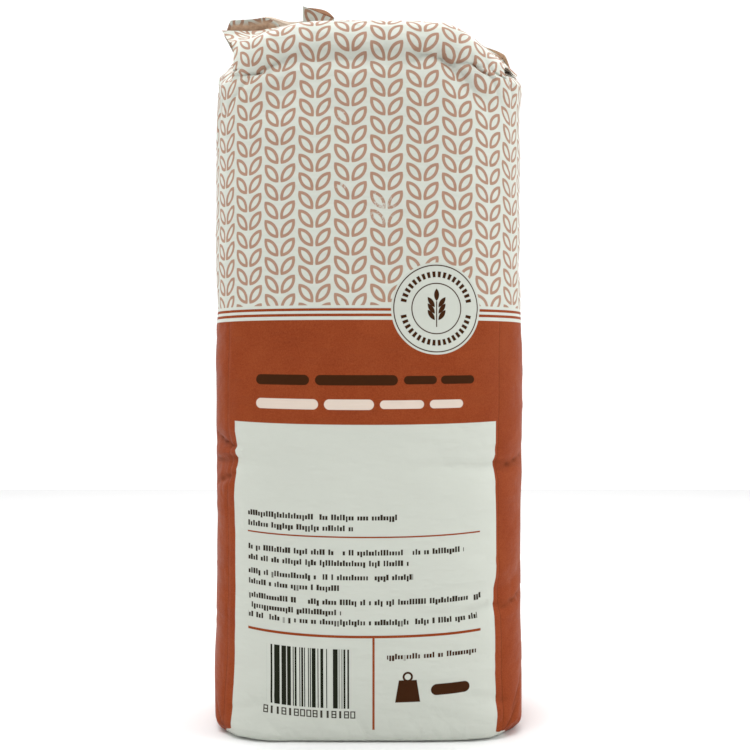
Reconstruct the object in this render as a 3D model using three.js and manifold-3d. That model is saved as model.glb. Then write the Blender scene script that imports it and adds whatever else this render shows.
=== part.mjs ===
// A full 5 kg paper bag of flour, standing upright.
//
// The bag is a paper tube with a block bottom. Flour presses it into a rounded, bulging
// column whose girth is the same at every height. At the top the side gussets are tucked
// in, the front and back panels meet in a ridge, and the closing fold is glued down on the
// back slope. The ends of the ridge stand open as two ears.
//
// Millimetres, +Z up. The bag stands on z = 0, with the middle of its base at the origin,
// and its front faces -Y.
import * as THREE from "three";
import { mergeVertices } from "three/addons/utils/BufferGeometryUtils.js";
import Module from "manifold-3d";

// The paper tube.
const GIRTH = 484;
const PANEL_WIDTH = 160; // front and back panels, from crease to crease
const GUSSET_WIDTH = GIRTH / 2 - PANEL_WIDTH;

// How the flour shapes the tube: half width and squareness (a superellipse power) by height.
const SHOULDER_Z = 350;
const SECTIONS = [
  { z: 0, halfWidth: 84.4, squareness: 4.6 },
  { z: 14, halfWidth: 84.8, squareness: 4 },
  { z: 40, halfWidth: 85.4, squareness: 3.3 },
  { z: 100, halfWidth: 85.4, squareness: 2.9 },
  { z: 200, halfWidth: 85.2, squareness: 2.7 },
  { z: 290, halfWidth: 85.2, squareness: 2.6 },
  { z: SHOULDER_Z, halfWidth: 84.6, squareness: 2.6 },
];
const BASE_ROUND = 5; // radius of the edge under the front and back
const SIDE_ROUND = 8; // radius of the edge under the sides

// The roof: its front and back edges, and the ridge where the panels meet. The right end
// is crushed, so both fall towards it, and the ridge bends forward.
const EDGE_Z = 375.4;
const EDGE_ROUND = 12;
const EDGE_LEFT_DROP = 7;
const EDGE_RIGHT_DROP = 17;
const EDGE_NECK = 0.03; // how much the roof edge draws in at its ends
const ROLL_FROM = 0.25; // shares of the way up the panel where the rolled edge starts and ends
const ROLL_TO = 0.625;
const RIDGE_Z = 393;
const RIDGE_HALF = 83;
const RIDGE_LEFT_DROP = 5.2;
const RIDGE_RIGHT_DROP = 33;
const RIDGE_RIGHT_START = 36;
const RIDGE_RIGHT_FORWARD = 9;
const NOTCH = { x: 34, half: 6, depth: 2.4 }; // a small dip in the ridge
const GABLE_PAPER = 84; // length of paper from the shoulder to the ridge
const LIP = 1.3; // half the thickness of the pinched ridge

// The ears: the open ends of the ridge, where the gussets are tucked in. Their rear layer
// stands higher than the front one, from a place on the ridge to near the tip.
const EAR_START = 43; // distance from the middle along the panel, and on the ridge
const EAR_WALL = 1.2;
const EAR_FRONT_OPENING = 3;
const EAR_REAR_OPENING = 6;
const LEFT_EAR = { rise: 8.6, from: 41, span: 20, tip: 8 };
const RIGHT_EAR = { rise: 9, from: 58, span: 24, tip: 8 };
const TUCK_DROP = 5; // how far the bottom of the tuck lies under the ridge
const LEFT_TUCK_BULGE = 0.9; // how high up a gusset still bulges before it turns in
const RIGHT_TUCK_BULGE = 1;
const LEFT_PINCH = 9; // height of the upright, pinched paper under an ear's lip
const RIGHT_PINCH = 4;
const PINCH_THROAT = 2; // how far out its foot stands
const LEFT_PINCH_NARROW = 5; // how far its foot draws in under the tip of the left ear
const TUCK_SAG = 80; // keeps the inner layer of an ear clear of the outer one

// The closing fold, and the corner of it that has come unstuck.
const FIN_EAR_COLUMNS = 3; // how far it reaches over the ears, in columns of the grid
const FIN_ROWS = 2; // how far it reaches down the roof, in rows of the grid
const FIN_THICKNESS = 2.2;
const FIN_SINK = 0.6; // how deep its hidden face lies in the back slope
const TAB = { left: -37.5, right: -20, height: 9.5, base: 6, lean: 3, thickness: 1.6 };

// The four folded corners of the block bottom, each pressed flat onto a slanting plane.
const CORNER_CUT = { normal: [0.59, 0.45, -0.67], leftX: 64.5, rightX: 62.5, y: 47 };

// Grid of the bag's skin: columns round the tube and rows up it.
const EAR_COLUMNS = 8;
const MIDDLE_COLUMNS = 12;
const BASE_ROWS = [0, 0.5, 1.3, 2.6, 5, 9, 14, 20];
const BODY_ROWS = 33;
const GABLE_ROWS = EAR_COLUMNS; // so that the tuck's diagonal crease runs along the grid
const ARC_SAMPLES = 240;

// Dents and creases pressed into the paper. s runs round the tube from the middle of the
// front, t up it; reach is half the length, spread half the width, depth is inwards.
const CREASES = [
  { s: -82, t: 156, angle: -4, reach: 24, spread: 8, depth: 2 },
  { s: -78, t: 144, angle: 6, reach: 30, spread: 9, depth: 2.4 },
  { s: 70, t: 147, angle: 3, reach: 44, spread: 10, depth: 2 },
  { s: 72, t: 77, angle: 20, reach: 30, spread: 10, depth: 2.6 },
  { s: -6, t: 358, angle: 0, reach: 66, spread: 9, depth: 2 },
  { s: -64, t: 354, angle: 12, reach: 24, spread: 9, depth: 2 },
  { s: 40, t: 347, angle: -47, reach: 24, spread: 10, depth: 1.6 },
  { s: 190, t: 210, angle: 12, reach: 46, spread: 11, depth: 2.2 },
  { s: -200, t: 120, angle: -9, reach: 40, spread: 11, depth: 2 },
  { s: 122, t: 258, angle: 20, reach: 32, spread: 11, depth: 1.8 },
  { s: -124, t: 236, angle: -16, reach: 32, spread: 11, depth: 1.8 },
  { s: 116, t: 356, angle: 0, reach: 44, spread: 18, depth: -2.6 },
  { s: -110, t: 364, angle: 0, reach: 26, spread: 12, depth: -2.6 },
];

// Slow unevenness of the whole wall: waves round it and up it.
const SWELLS = [
  { round: 3, up: 0.016, phase: 0.6, height: 0.4 },
  { round: 5, up: 0.029, phase: 2.1, height: 0.3 },
  { round: 2, up: 0.041, phase: 4.0, height: 0.25 },
];

const clamp01 = (t) => Math.min(1, Math.max(0, t));
const smooth = (t) => clamp01(t) ** 2 * (3 - 2 * clamp01(t));
const mix = (a, b, t) => a.clone().lerp(b, t);
const vec = (x, y, z) => new THREE.Vector3(x, y, z);

// A smooth curve through the key sections (cubic, with slopes from the neighbours).
function profile(z, key) {
  const last = SECTIONS.length - 1;
  let i = 0;
  while (i < last - 1 && z > SECTIONS[i + 1].z) i++;
  const slope = (k) => {
    const below = SECTIONS[Math.max(0, k - 1)];
    const above = SECTIONS[Math.min(last, k + 1)];
    return (above[key] - below[key]) / (above.z - below.z);
  };
  const a = SECTIONS[i];
  const b = SECTIONS[i + 1];
  const span = b.z - a.z;
  const t = (z - a.z) / span;
  return (
    a[key] * (1 + 2 * t) * (1 - t) ** 2 +
    slope(i) * span * t * (1 - t) ** 2 +
    b[key] * t * t * (3 - 2 * t) +
    slope(i + 1) * span * t * t * (t - 1)
  );
}

// Half a superellipse, from the middle of the front round to the middle of the back, with
// the distance travelled along it.
function halfSection(halfWidth, halfDepth, squareness) {
  const points = [];
  let travelled = 0;
  for (let i = 0; i <= ARC_SAMPLES; i++) {
    const angle = (Math.PI * i) / ARC_SAMPLES;
    const across = Math.abs(Math.sin(angle)) ** (2 / squareness);
    const along = Math.abs(Math.cos(angle)) ** (2 / squareness);
    const x = halfWidth * across;
    const y = -halfDepth * along * Math.sign(Math.cos(angle));
    if (i) travelled += Math.hypot(x - points[i - 1].x, y - points[i - 1].y);
    points.push({ x, y, travelled });
  }
  return points;
}

// The section at height z: its depth is whatever the fixed girth leaves. Near the base it
// draws in round the bottom edge.
function sectionAt(z) {
  const halfWidth = profile(z, "halfWidth");
  const squareness = profile(z, "squareness");
  let low = 20;
  let high = 110;
  for (let i = 0; i < 30; i++) {
    const middle = (low + high) / 2;
    const half = halfSection(halfWidth, middle, squareness);
    if (half[ARC_SAMPLES].travelled * 2 < GIRTH) low = middle;
    else high = middle;
  }
  const inset = (round) => round * (1 - Math.sqrt(1 - (1 - clamp01(z / round)) ** 2));
  const halfDepth = (low + high) / 2;
  return halfSection(halfWidth - inset(SIDE_ROUND), halfDepth - inset(BASE_ROUND), squareness);
}

// The point at distance s round a section, s from -GIRTH/2 to GIRTH/2.
function pointOnSection(section, s, z) {
  const distance = (Math.abs(s) / (GIRTH / 2)) * section[ARC_SAMPLES].travelled;
  let i = 1;
  while (i < ARC_SAMPLES && section[i].travelled < distance) i++;
  const a = section[i - 1];
  const b = section[i];
  const t = (distance - a.travelled) / (b.travelled - a.travelled);
  return vec(Math.sign(s || 1) * (a.x + (b.x - a.x) * t), a.y + (b.y - a.y) * t, z);
}

// How far along an ear, from 0 where it starts to 1 at its tip.
const alongEar = (x) => clamp01((Math.abs(x) - EAR_START) / (RIDGE_HALF - EAR_START));

// How far along the crushed right end of the ridge.
const alongCrush = (x) =>
  clamp01((x - RIDGE_RIGHT_START) / (RIDGE_HALF - RIDGE_RIGHT_START));

function ridgeHeight(x) {
  const left = RIDGE_LEFT_DROP * smooth((-x - 34) / 36);
  const notch = NOTCH.depth * Math.max(0, 1 - ((x - NOTCH.x) / NOTCH.half) ** 2);
  return RIDGE_Z - left - notch - RIDGE_RIGHT_DROP * alongCrush(x) ** 1.65;
}

const ridgeForward = (x) => -RIDGE_RIGHT_FORWARD * alongCrush(x) ** 2;

function earRise(x) {
  const ear = x < 0 ? LEFT_EAR : RIGHT_EAR;
  const fromTip = smooth((RIDGE_HALF - Math.abs(x)) / ear.tip);
  return ear.rise * fromTip * smooth((Math.abs(x) - ear.from) / ear.span);
}

const frontLip = (x) =>
  vec(x, ridgeForward(x) - LIP - EAR_FRONT_OPENING * alongEar(x), ridgeHeight(x));
const rearLip = (x) =>
  vec(
    x,
    ridgeForward(x) + LIP + EAR_REAR_OPENING * alongEar(x),
    ridgeHeight(x) + earRise(x),
  );

// Height of the roof's front and back edges.
function edgeHeight(x) {
  const left = EDGE_LEFT_DROP * smooth((-x - 25) / 55);
  const right = EDGE_RIGHT_DROP * smooth((x - 36) / 50);
  return EDGE_Z - left - right;
}

// The front or back panel above the shoulder: up, over a rolled edge, back towards the
// ridge, and up to its lip where the paper is pinched.
function panelPoint(section, s, v, back) {
  const across = back ? Math.sign(s || 1) * (GIRTH / 2 - Math.abs(s)) : s;
  const ridgeX = (across * RIDGE_HALF) / (PANEL_WIDTH / 2);
  const foot = pointOnSection(section, s, SHOULDER_Z);
  const lip = back ? rearLip(ridgeX) : frontLip(ridgeX);
  const neck = 1 - EDGE_NECK * smooth((Math.abs(across) - 40) / 40);
  const edge = vec(foot.x * neck, foot.y, edgeHeight(across));
  const rise = edge.distanceTo(foot);
  const roof = edge.distanceTo(lip);
  const rollStart = mix(edge, foot, Math.min(0.7, EDGE_ROUND / rise));
  const rollEnd = mix(edge, lip, Math.min(0.7, EDGE_ROUND / roof));
  if (v < ROLL_FROM) return mix(foot, rollStart, v / ROLL_FROM);
  if (v > ROLL_TO) {
    const end = (v - ROLL_TO) / (1 - ROLL_TO);
    const ear = alongEar(ridgeX);
    const pinch = (across < 0 ? LEFT_PINCH : RIGHT_PINCH) * ear;
    const narrow = across < 0 ? LEFT_PINCH_NARROW * ear : 0;
    const throat = vec(narrow, back ? PINCH_THROAT : -PINCH_THROAT, -pinch).add(lip);
    return mix(mix(rollEnd, throat, end), mix(throat, lip, end), end);
  }
  const t = (v - ROLL_FROM) / (ROLL_TO - ROLL_FROM);
  return mix(mix(rollStart, edge, t), mix(edge, rollEnd, t), t);
}

// A gusset above the shoulder, as two flat triangles a side that meet in a diagonal
// crease; what is added bends them to the curved edges that they share with their
// neighbours. across runs from 0 at the crease to 1 in the middle of the gusset.
function gussetPoint(section, s, v) {
  const side = Math.sign(s);
  const back = Math.abs(s) > GIRTH / 4;
  const half = GUSSET_WIDTH / 2;
  const creaseS = side * (back ? PANEL_WIDTH / 2 + GUSSET_WIDTH : PANEL_WIDTH / 2);
  const middleS = side * (PANEL_WIDTH / 2 + half);
  const across = Math.abs(s - creaseS) / half;
  const edge = (t) => panelPoint(section, creaseS, t, back);
  const corner = edge(0);
  const tip = edge(1);
  const middle = pointOnSection(section, middleS, SHOULDER_Z);
  const apexX = side * EAR_START;
  const apex = vec(apexX, ridgeForward(apexX), ridgeHeight(apexX) - TUCK_DROP);
  const lipX = side * (RIDGE_HALF + (EAR_START - RIDGE_HALF) * across);
  const lip = back ? rearLip(lipX) : frontLip(lipX);
  const wall = EAR_WALL * Math.min(1, across * 4);
  lip.add(vec(0, back ? -wall : wall, -TUCK_DROP * across ** 3));
  const bulgeShare = side < 0 ? LEFT_TUCK_BULGE : RIGHT_TUCK_BULGE;
  const bulge = vec(middle.x, 0, SHOULDER_Z + (apex.z - SHOULDER_Z) * bulgeShare);
  const midline = mix(mix(middle, bulge, v), mix(bulge, apex, v), v);
  if (across >= v) {
    const flat = mix(corner, middle, across).add(apex.clone().sub(middle).multiplyScalar(v));
    const foot = pointOnSection(section, s, SHOULDER_Z).sub(mix(corner, middle, across));
    const bend = midline.sub(mix(middle, apex, v));
    flat.addScaledVector(foot, across > 0 ? 1 - v / across : 1);
    return flat.addScaledVector(bend, v < 1 ? (across - v) / (1 - v) : 1);
  }
  const flat = mix(corner, tip, v).add(apex.clone().sub(tip).multiplyScalar(across));
  flat.addScaledVector(edge(v).sub(mix(corner, tip, v)), 1 - across / v);
  const top = lip.sub(mix(tip, apex, across));
  flat.z -= TUCK_SAG * across * (v - across) * (1 - v);
  return flat.addScaledVector(top, (v - across) / (1 - across));
}

// Columns round the tube, from the middle of the left gusset through the front. The ears
// have as many columns on the panels as on the gussets, so that the top closes in strips.
function columnPlaces() {
  const half = PANEL_WIDTH / 2;
  const steps = (from, to, count) =>
    Array.from({ length: count }, (_, i) => from + ((to - from) * i) / count);
  const quarter = GUSSET_WIDTH / 2;
  return [
    ...steps(-half - quarter, -half, EAR_COLUMNS),
    ...steps(-half, -EAR_START, EAR_COLUMNS),
    ...steps(-EAR_START, EAR_START, MIDDLE_COLUMNS),
    ...steps(EAR_START, half, EAR_COLUMNS),
    ...steps(half, half + GUSSET_WIDTH, 2 * EAR_COLUMNS),
    ...steps(half + GUSSET_WIDTH, GIRTH / 2 - EAR_START, EAR_COLUMNS),
    ...steps(GIRTH / 2 - EAR_START, GIRTH / 2 + EAR_START, MIDDLE_COLUMNS),
    ...steps(GIRTH / 2 + EAR_START, GIRTH / 2 + half, EAR_COLUMNS),
    ...steps(GIRTH / 2 + half, GIRTH - half - quarter, EAR_COLUMNS),
  ].map((s) => (s > GIRTH / 2 ? s - GIRTH : s));
}

// Rows up the tube, closer together near the bottom edge.
function rowHeights() {
  const rows = [...BASE_ROWS];
  const start = rows[rows.length - 1];
  for (let i = 1; i <= BODY_ROWS; i++)
    rows.push(start + ((SHOULDER_Z - start) * i) / BODY_ROWS);
  return rows;
}

// How far the paper is pressed in or out at a place on it.
function relief(s, t) {
  let out = 0;
  for (const wave of SWELLS)
    out += wave.height * Math.sin(((2 * Math.PI * wave.round) / GIRTH) * s + wave.up * t + wave.phase);
  out *= smooth(t / 40);
  for (const crease of CREASES) {
    const angle = THREE.MathUtils.degToRad(crease.angle);
    const ds = s - crease.s;
    const dt = t - crease.t;
    const along = (ds * Math.cos(angle) + dt * Math.sin(angle)) / crease.reach;
    const off = (dt * Math.cos(angle) - ds * Math.sin(angle)) / crease.spread;
    out -= crease.depth * Math.max(0, 1 - Math.abs(off)) * Math.max(0, 1 - along * along);
  }
  return out;
}

// The bag's skin as rows of points, pressed in and out along its normals.
function skinGrid(columns) {
  const rows = rowHeights().map((z) => {
    const section = sectionAt(z);
    return columns.map((s) => pointOnSection(section, s, z));
  });
  const shoulder = sectionAt(SHOULDER_Z);
  const heights = rowHeights();
  for (let i = 1; i <= GABLE_ROWS; i++) {
    const v = i / GABLE_ROWS;
    heights.push(SHOULDER_Z + GABLE_PAPER * v);
    rows.push(
      columns.map((s) => {
        const onFront = Math.abs(s) <= PANEL_WIDTH / 2;
        const onBack = Math.abs(s) >= PANEL_WIDTH / 2 + GUSSET_WIDTH;
        if (onFront || onBack) return panelPoint(shoulder, s, v, onBack);
        return gussetPoint(shoulder, s, v);
      }),
    );
  }
  const last = rows.length - 1;
  return rows.map((row, r) =>
    row.map((point, c) => {
      const count = row.length;
      const right = row[(c + 1) % count].clone().sub(row[(c + count - 1) % count]);
      const up = rows[Math.min(last, r + 1)][c].clone().sub(rows[Math.max(0, r - 1)][c]);
      const normal = right.cross(up).normalize();
      const fade = r === 0 ? 0 : 1 - smooth((heights[r] - 374) / 20);
      return point.clone().addScaledVector(normal, fade * relief(columns[c], heights[r]));
    }),
  );
}

// Folded corners: what lies beyond a slanting plane at each bottom corner is pressed onto it.
function pressCorner(point) {
  const [nx, ny, nz] = CORNER_CUT.normal;
  const sx = Math.sign(point.x);
  const sy = Math.sign(point.y);
  const normal = vec(nx * sx, ny * sy, nz).normalize();
  const cutX = sx < 0 ? -CORNER_CUT.leftX : CORNER_CUT.rightX;
  const on = vec(cutX, CORNER_CUT.y * sy, 0);
  const beyond = point.clone().sub(on).dot(normal);
  return beyond > 0 ? point.addScaledVector(normal, -beyond) : point;
}

// A triangle list over numbered points, kept as a buffer geometry.
function geometryOf(points, triangles) {
  const geometry = new THREE.BufferGeometry();
  geometry.setAttribute(
    "position",
    new THREE.Float32BufferAttribute(points.flatMap((p) => [p.x, p.y, p.z]), 3),
  );
  geometry.setIndex(triangles.flat());
  return geometry;
}

// The closed skin: grid, flat base, and the strips that close the ridge and the ears.
function bagBody() {
  const columns = columnPlaces();
  const grid = skinGrid(columns).map((row) => row.map(pressCorner));
  for (const point of grid[0]) point.z = 0;
  for (const row of grid) for (const point of row) point.z = Math.max(0, point.z);
  const count = columns.length;
  const points = grid.flat();
  const triangles = [];
  const quad = (a, b, c, d) => triangles.push([a, b, c], [a, c, d]);
  // Column numbers of the creases and of the middles of the gussets.
  const leftCrease = EAR_COLUMNS;
  const rightCrease = leftCrease + 2 * EAR_COLUMNS + MIDDLE_COLUMNS;
  const rightApex = rightCrease + EAR_COLUMNS;
  const rightRearCrease = rightApex + EAR_COLUMNS;
  const leftRearCrease = rightRearCrease + 2 * EAR_COLUMNS + MIDDLE_COLUMNS;
  for (let r = 0; r < grid.length - 1; r++)
    for (let c = 0; c < count; c++) {
      const next = (c + 1) % count;
      const corners = [c, next, next + count, c + count].map((k) => k + r * count);
      const leaning = c < leftCrease || (c >= rightApex && c < rightRearCrease);
      if (leaning) corners.push(corners.shift());
      quad(...corners);
    }
  const centre = points.push(vec(0, 0, 0)) - 1;
  for (let c = 0; c < count; c++) triangles.push([centre, (c + 1) % count, c]);

  const top = (c) => (grid.length - 1) * count + ((c + count) % count);
  // Closes one wall of an ear: from the crease, one side runs up in columns, the other down.
  const closeWall = (crease) => {
    for (let i = 0; i < EAR_COLUMNS; i++)
      quad(top(crease - i), top(crease + i), top(crease + i + 1), top(crease - i - 1));
  };
  for (const crease of [leftCrease, rightCrease, rightRearCrease, leftRearCrease])
    closeWall(crease);
  const frontLeft = leftCrease + EAR_COLUMNS;
  const backLeft = leftRearCrease - EAR_COLUMNS;
  for (let i = 0; i < MIDDLE_COLUMNS; i++)
    quad(top(frontLeft + i), top(frontLeft + i + 1), top(backLeft - i - 1), top(backLeft - i));
  triangles.push([top(0), top(frontLeft), top(backLeft)]);
  const frontRight = frontLeft + MIDDLE_COLUMNS;
  triangles.push([top(rightApex), top(backLeft - MIDDLE_COLUMNS), top(frontRight)]);
  return geometryOf(points, triangles.filter(([a, b, c]) => a !== b && b !== c && a !== c));
}

// A closed plate between two sheets of points that have the same rows and columns.
function plate(outer, inner) {
  const rows = outer.length;
  const count = outer[0].length;
  const points = [...outer.flat(), ...inner.flat()];
  const under = rows * count;
  const triangles = [];
  const quad = (a, b, c, d) => triangles.push([a, b, c], [a, c, d]);
  for (let r = 0; r < rows - 1; r++)
    for (let c = 0; c < count - 1; c++) {
      const a = r * count + c;
      quad(a, a + 1, a + count + 1, a + count);
      quad(under + a, under + a + count, under + a + count + 1, under + a + 1);
    }
  const rim = [];
  for (let c = 0; c < count; c++) rim.push(c);
  for (let r = 1; r < rows; r++) rim.push(r * count + count - 1);
  for (let c = count - 2; c >= 0; c--) rim.push((rows - 1) * count + c);
  for (let r = rows - 2; r > 0; r--) rim.push(r * count);
  rim.forEach((a, i) => {
    const b = rim[(i + 1) % rim.length];
    quad(b, a, under + a, under + b);
  });
  return geometryOf(points, triangles);
}

// The closing fold, glued down on the back slope from the ridge.
function closingFold() {
  const shoulder = sectionAt(SHOULDER_Z);
  const earStep = (PANEL_WIDTH / 2 - EAR_START) / EAR_COLUMNS;
  const ends = Array.from({ length: FIN_EAR_COLUMNS }, (_, i) => EAR_START + earStep * (i + 1));
  const middle = Array.from(
    { length: MIDDLE_COLUMNS + 1 },
    (_, i) => EAR_START * ((2 * i) / MIDDLE_COLUMNS - 1),
  );
  const places = [...ends.map((x) => -x).reverse(), ...middle, ...ends];
  const sheets = [FIN_THICKNESS, -FIN_SINK].map((lift) =>
    Array.from({ length: FIN_ROWS + 1 }, (_, r) =>
      places.map((across) => {
        const s = Math.sign(across || 1) * (GIRTH / 2 - Math.abs(across));
        const v = 1 - r / GABLE_ROWS;
        const here = panelPoint(shoulder, s, v, true);
        const down = panelPoint(shoulder, s, v - 0.01, true).sub(here);
        const normal = down.cross(vec(1, 0, 0)).negate().normalize();
        return here.addScaledVector(normal, lift);
      }),
    ),
  );
  return plate(sheets[0], sheets[1]);
}

// The lifted corner of the fold: a small flap that stands up from the ridge.
function liftedTab() {
  const rows = 4;
  const columns = 5;
  const sheets = [-TAB.thickness, TAB.thickness].map((side) =>
    Array.from({ length: rows + 1 }, (_, r) =>
      Array.from({ length: columns + 1 }, (_, c) => {
        const across = c / columns;
        const x = TAB.left + (TAB.right - TAB.left) * across;
        const height = TAB.height * (1 - 0.5 * across ** 3) + TAB.base;
        const up = (height * r) / rows;
        const y = TAB.lean * (up / (TAB.height + TAB.base)) ** 2;
        return vec(x, y + side / 2, ridgeHeight(x) - TAB.base + up);
      }),
    ),
  );
  return plate(sheets[0], sheets[1]);
}

const wasm = await Module();
wasm.setup();

function solidOf(geometry) {
  const merged = mergeVertices(geometry, 1e-4);
  return new wasm.Manifold(
    new wasm.Mesh({
      numProp: 3,
      vertProperties: merged.getAttribute("position").array,
      triVerts: new Uint32Array(merged.index.array),
    }),
  );
}

function geometryOfSolid(solid) {
  const mesh = solid.getMesh();
  const geometry = new THREE.BufferGeometry();
  geometry.setAttribute("position", new THREE.BufferAttribute(mesh.vertProperties, 3));
  geometry.setIndex(new THREE.BufferAttribute(mesh.triVerts, 1));
  return geometry;
}

const paper = new THREE.MeshStandardMaterial({ color: 0xd3d9d0, roughness: 0.55, metalness: 0 });

const bag = new THREE.Mesh(
  geometryOfSolid(
    solidOf(bagBody()).add(solidOf(closingFold())).add(solidOf(liftedTab())),
  ),
  paper,
);
bag.name = "bag";

const flourBag = new THREE.Group();
flourBag.add(bag);

export default flourBag;
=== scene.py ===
# A full paper bag of flour, standing upright, for Blender 4.5.
#
# The bag is a paper tube with a block bottom, drawn on a grid that follows the paper: s runs
# round the tube from the middle of the front, t up it. Every corner of the mesh keeps its s
# and t, and the print is worked out from them by the material's nodes. Sizes are in
# millimetres until a mesh is made.
import math

import bpy
import numpy as np
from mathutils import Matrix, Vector


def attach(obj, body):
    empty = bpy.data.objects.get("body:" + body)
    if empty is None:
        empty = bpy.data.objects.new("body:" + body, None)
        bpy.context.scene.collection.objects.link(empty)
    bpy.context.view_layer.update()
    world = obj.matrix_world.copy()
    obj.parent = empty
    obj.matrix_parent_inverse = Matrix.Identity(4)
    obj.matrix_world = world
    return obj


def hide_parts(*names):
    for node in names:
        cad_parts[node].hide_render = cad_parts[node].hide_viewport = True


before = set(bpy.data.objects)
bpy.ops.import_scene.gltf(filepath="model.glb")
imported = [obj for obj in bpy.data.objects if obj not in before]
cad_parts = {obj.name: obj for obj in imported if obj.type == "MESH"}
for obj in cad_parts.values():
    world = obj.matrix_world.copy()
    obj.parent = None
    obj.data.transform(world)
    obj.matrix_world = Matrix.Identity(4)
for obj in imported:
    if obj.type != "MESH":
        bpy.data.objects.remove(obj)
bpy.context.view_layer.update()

MM = 0.001
SEED = 11
TINY = 1e-9

# The paper tube and how the flour shapes it, as in the CAD part.
GIRTH = 484.0
PANEL_WIDTH = 160.0
GUSSET_WIDTH = GIRTH / 2 - PANEL_WIDTH
SHOULDER_Z = 350.0
SECTION_Z = np.array([0, 14, 40, 100, 200, 290, SHOULDER_Z])
HALF_WIDTHS = np.array([84.4, 84.8, 85.4, 85.4, 85.2, 85.2, 84.6])
SQUARENESS = np.array([4.6, 4, 3.3, 2.9, 2.7, 2.6, 2.6])
DEPTH_RANGE = (20.0, 110.0)  # between these lies half the depth of any section
DEPTH_STEPS = 24
BASE_ROUND = 5.0
SIDE_ROUND = 8.0

# The roof and the ridge. Their ends drop and draw in by smooth ramps: (how much, from where,
# over what distance).
EDGE_Z = 375.4
EDGE_ROUND = 12.0
EDGE_ROUND_MOST = 0.7  # share of the panel or the roof that the rolled edge may take
EDGE_LEFT_DROP = (7.0, 25.0, 55.0)
EDGE_RIGHT_DROP = (17.0, 36.0, 50.0)
EDGE_NECK = (0.03, 40.0, 40.0)
ROLL_FROM = 0.25
ROLL_TO = 0.625
RIDGE_Z = 393.0
RIDGE_HALF = 83.0
RIDGE_LEFT_DROP = (5.2, 34.0, 36.0)
RIDGE_RIGHT_DROP = 33.0
RIDGE_RIGHT_START = 36.0
RIDGE_RIGHT_POWER = 1.65
RIDGE_RIGHT_FORWARD = 9.0
NOTCH_X = 34.0
NOTCH_HALF = 6.0
NOTCH_DEPTH = 2.4
GABLE_PAPER = 84.0

# The pinched ridge and the ears, thinner than the solid's.
LIP = 0.5
EAR_START = 43.0
EAR_WALL = 0.35
EAR_WALL_OVER = 0.25  # share of an ear's length over which its wall thickens
EAR_FRONT_OPENING = 3.0
EAR_REAR_OPENING = 6.0
LEFT_EAR = {"rise": 8.6, "from": 41, "span": 20, "tip": 4}
RIGHT_EAR = {"rise": 9, "from": 58, "span": 24, "tip": 6}
TUCK_DROP = 9.0
TUCK_CURVE = 6
LEFT_TUCK_BULGE = 0.9
RIGHT_TUCK_BULGE = 1.0
LEFT_PINCH = 9.0
RIGHT_PINCH = 4.0
PINCH_THROAT = 2.0
LEFT_PINCH_NARROW = 5.0
TUCK_SAG = 80.0

# Painted shade in the ears: a warm tan over the print on their rear walls, marked by a third
# place value of the first number below or more: how far below the lip it starts, ends and
# darkens.
EAR_SHADE_MARK = 3.0
EAR_RIM = 1.2
EAR_FADE = 1.6
EAR_DEEP = 16.0
EAR_SHADE_OVER = 9.0
LEFT_EAR_SHADE = 0.5
RIGHT_EAR_SHADE = 1.0

# The folded corners of the block bottom.
CORNER_NORMAL = np.array([0.59, 0.45, -0.67])
CORNER_LEFT_X = 64.5
CORNER_RIGHT_X = 62.5
CORNER_Y = 47.0

# The grid.
EAR_COLUMNS = 40
MIDDLE_COLUMNS = 50
GABLE_ROWS = EAR_COLUMNS
BASE_ROWS = [0, 0.3, 0.8, 1.5, 2.4, 3.5, 5, 6.7, 8.7, 11, 13]
BODY_ROWS = 166
BASE_RINGS = [0.985, 0.94, 0.86, 0.74, 0.6, 0.45, 0.3, 0.15]
ARC_SAMPLES = 400

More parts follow.
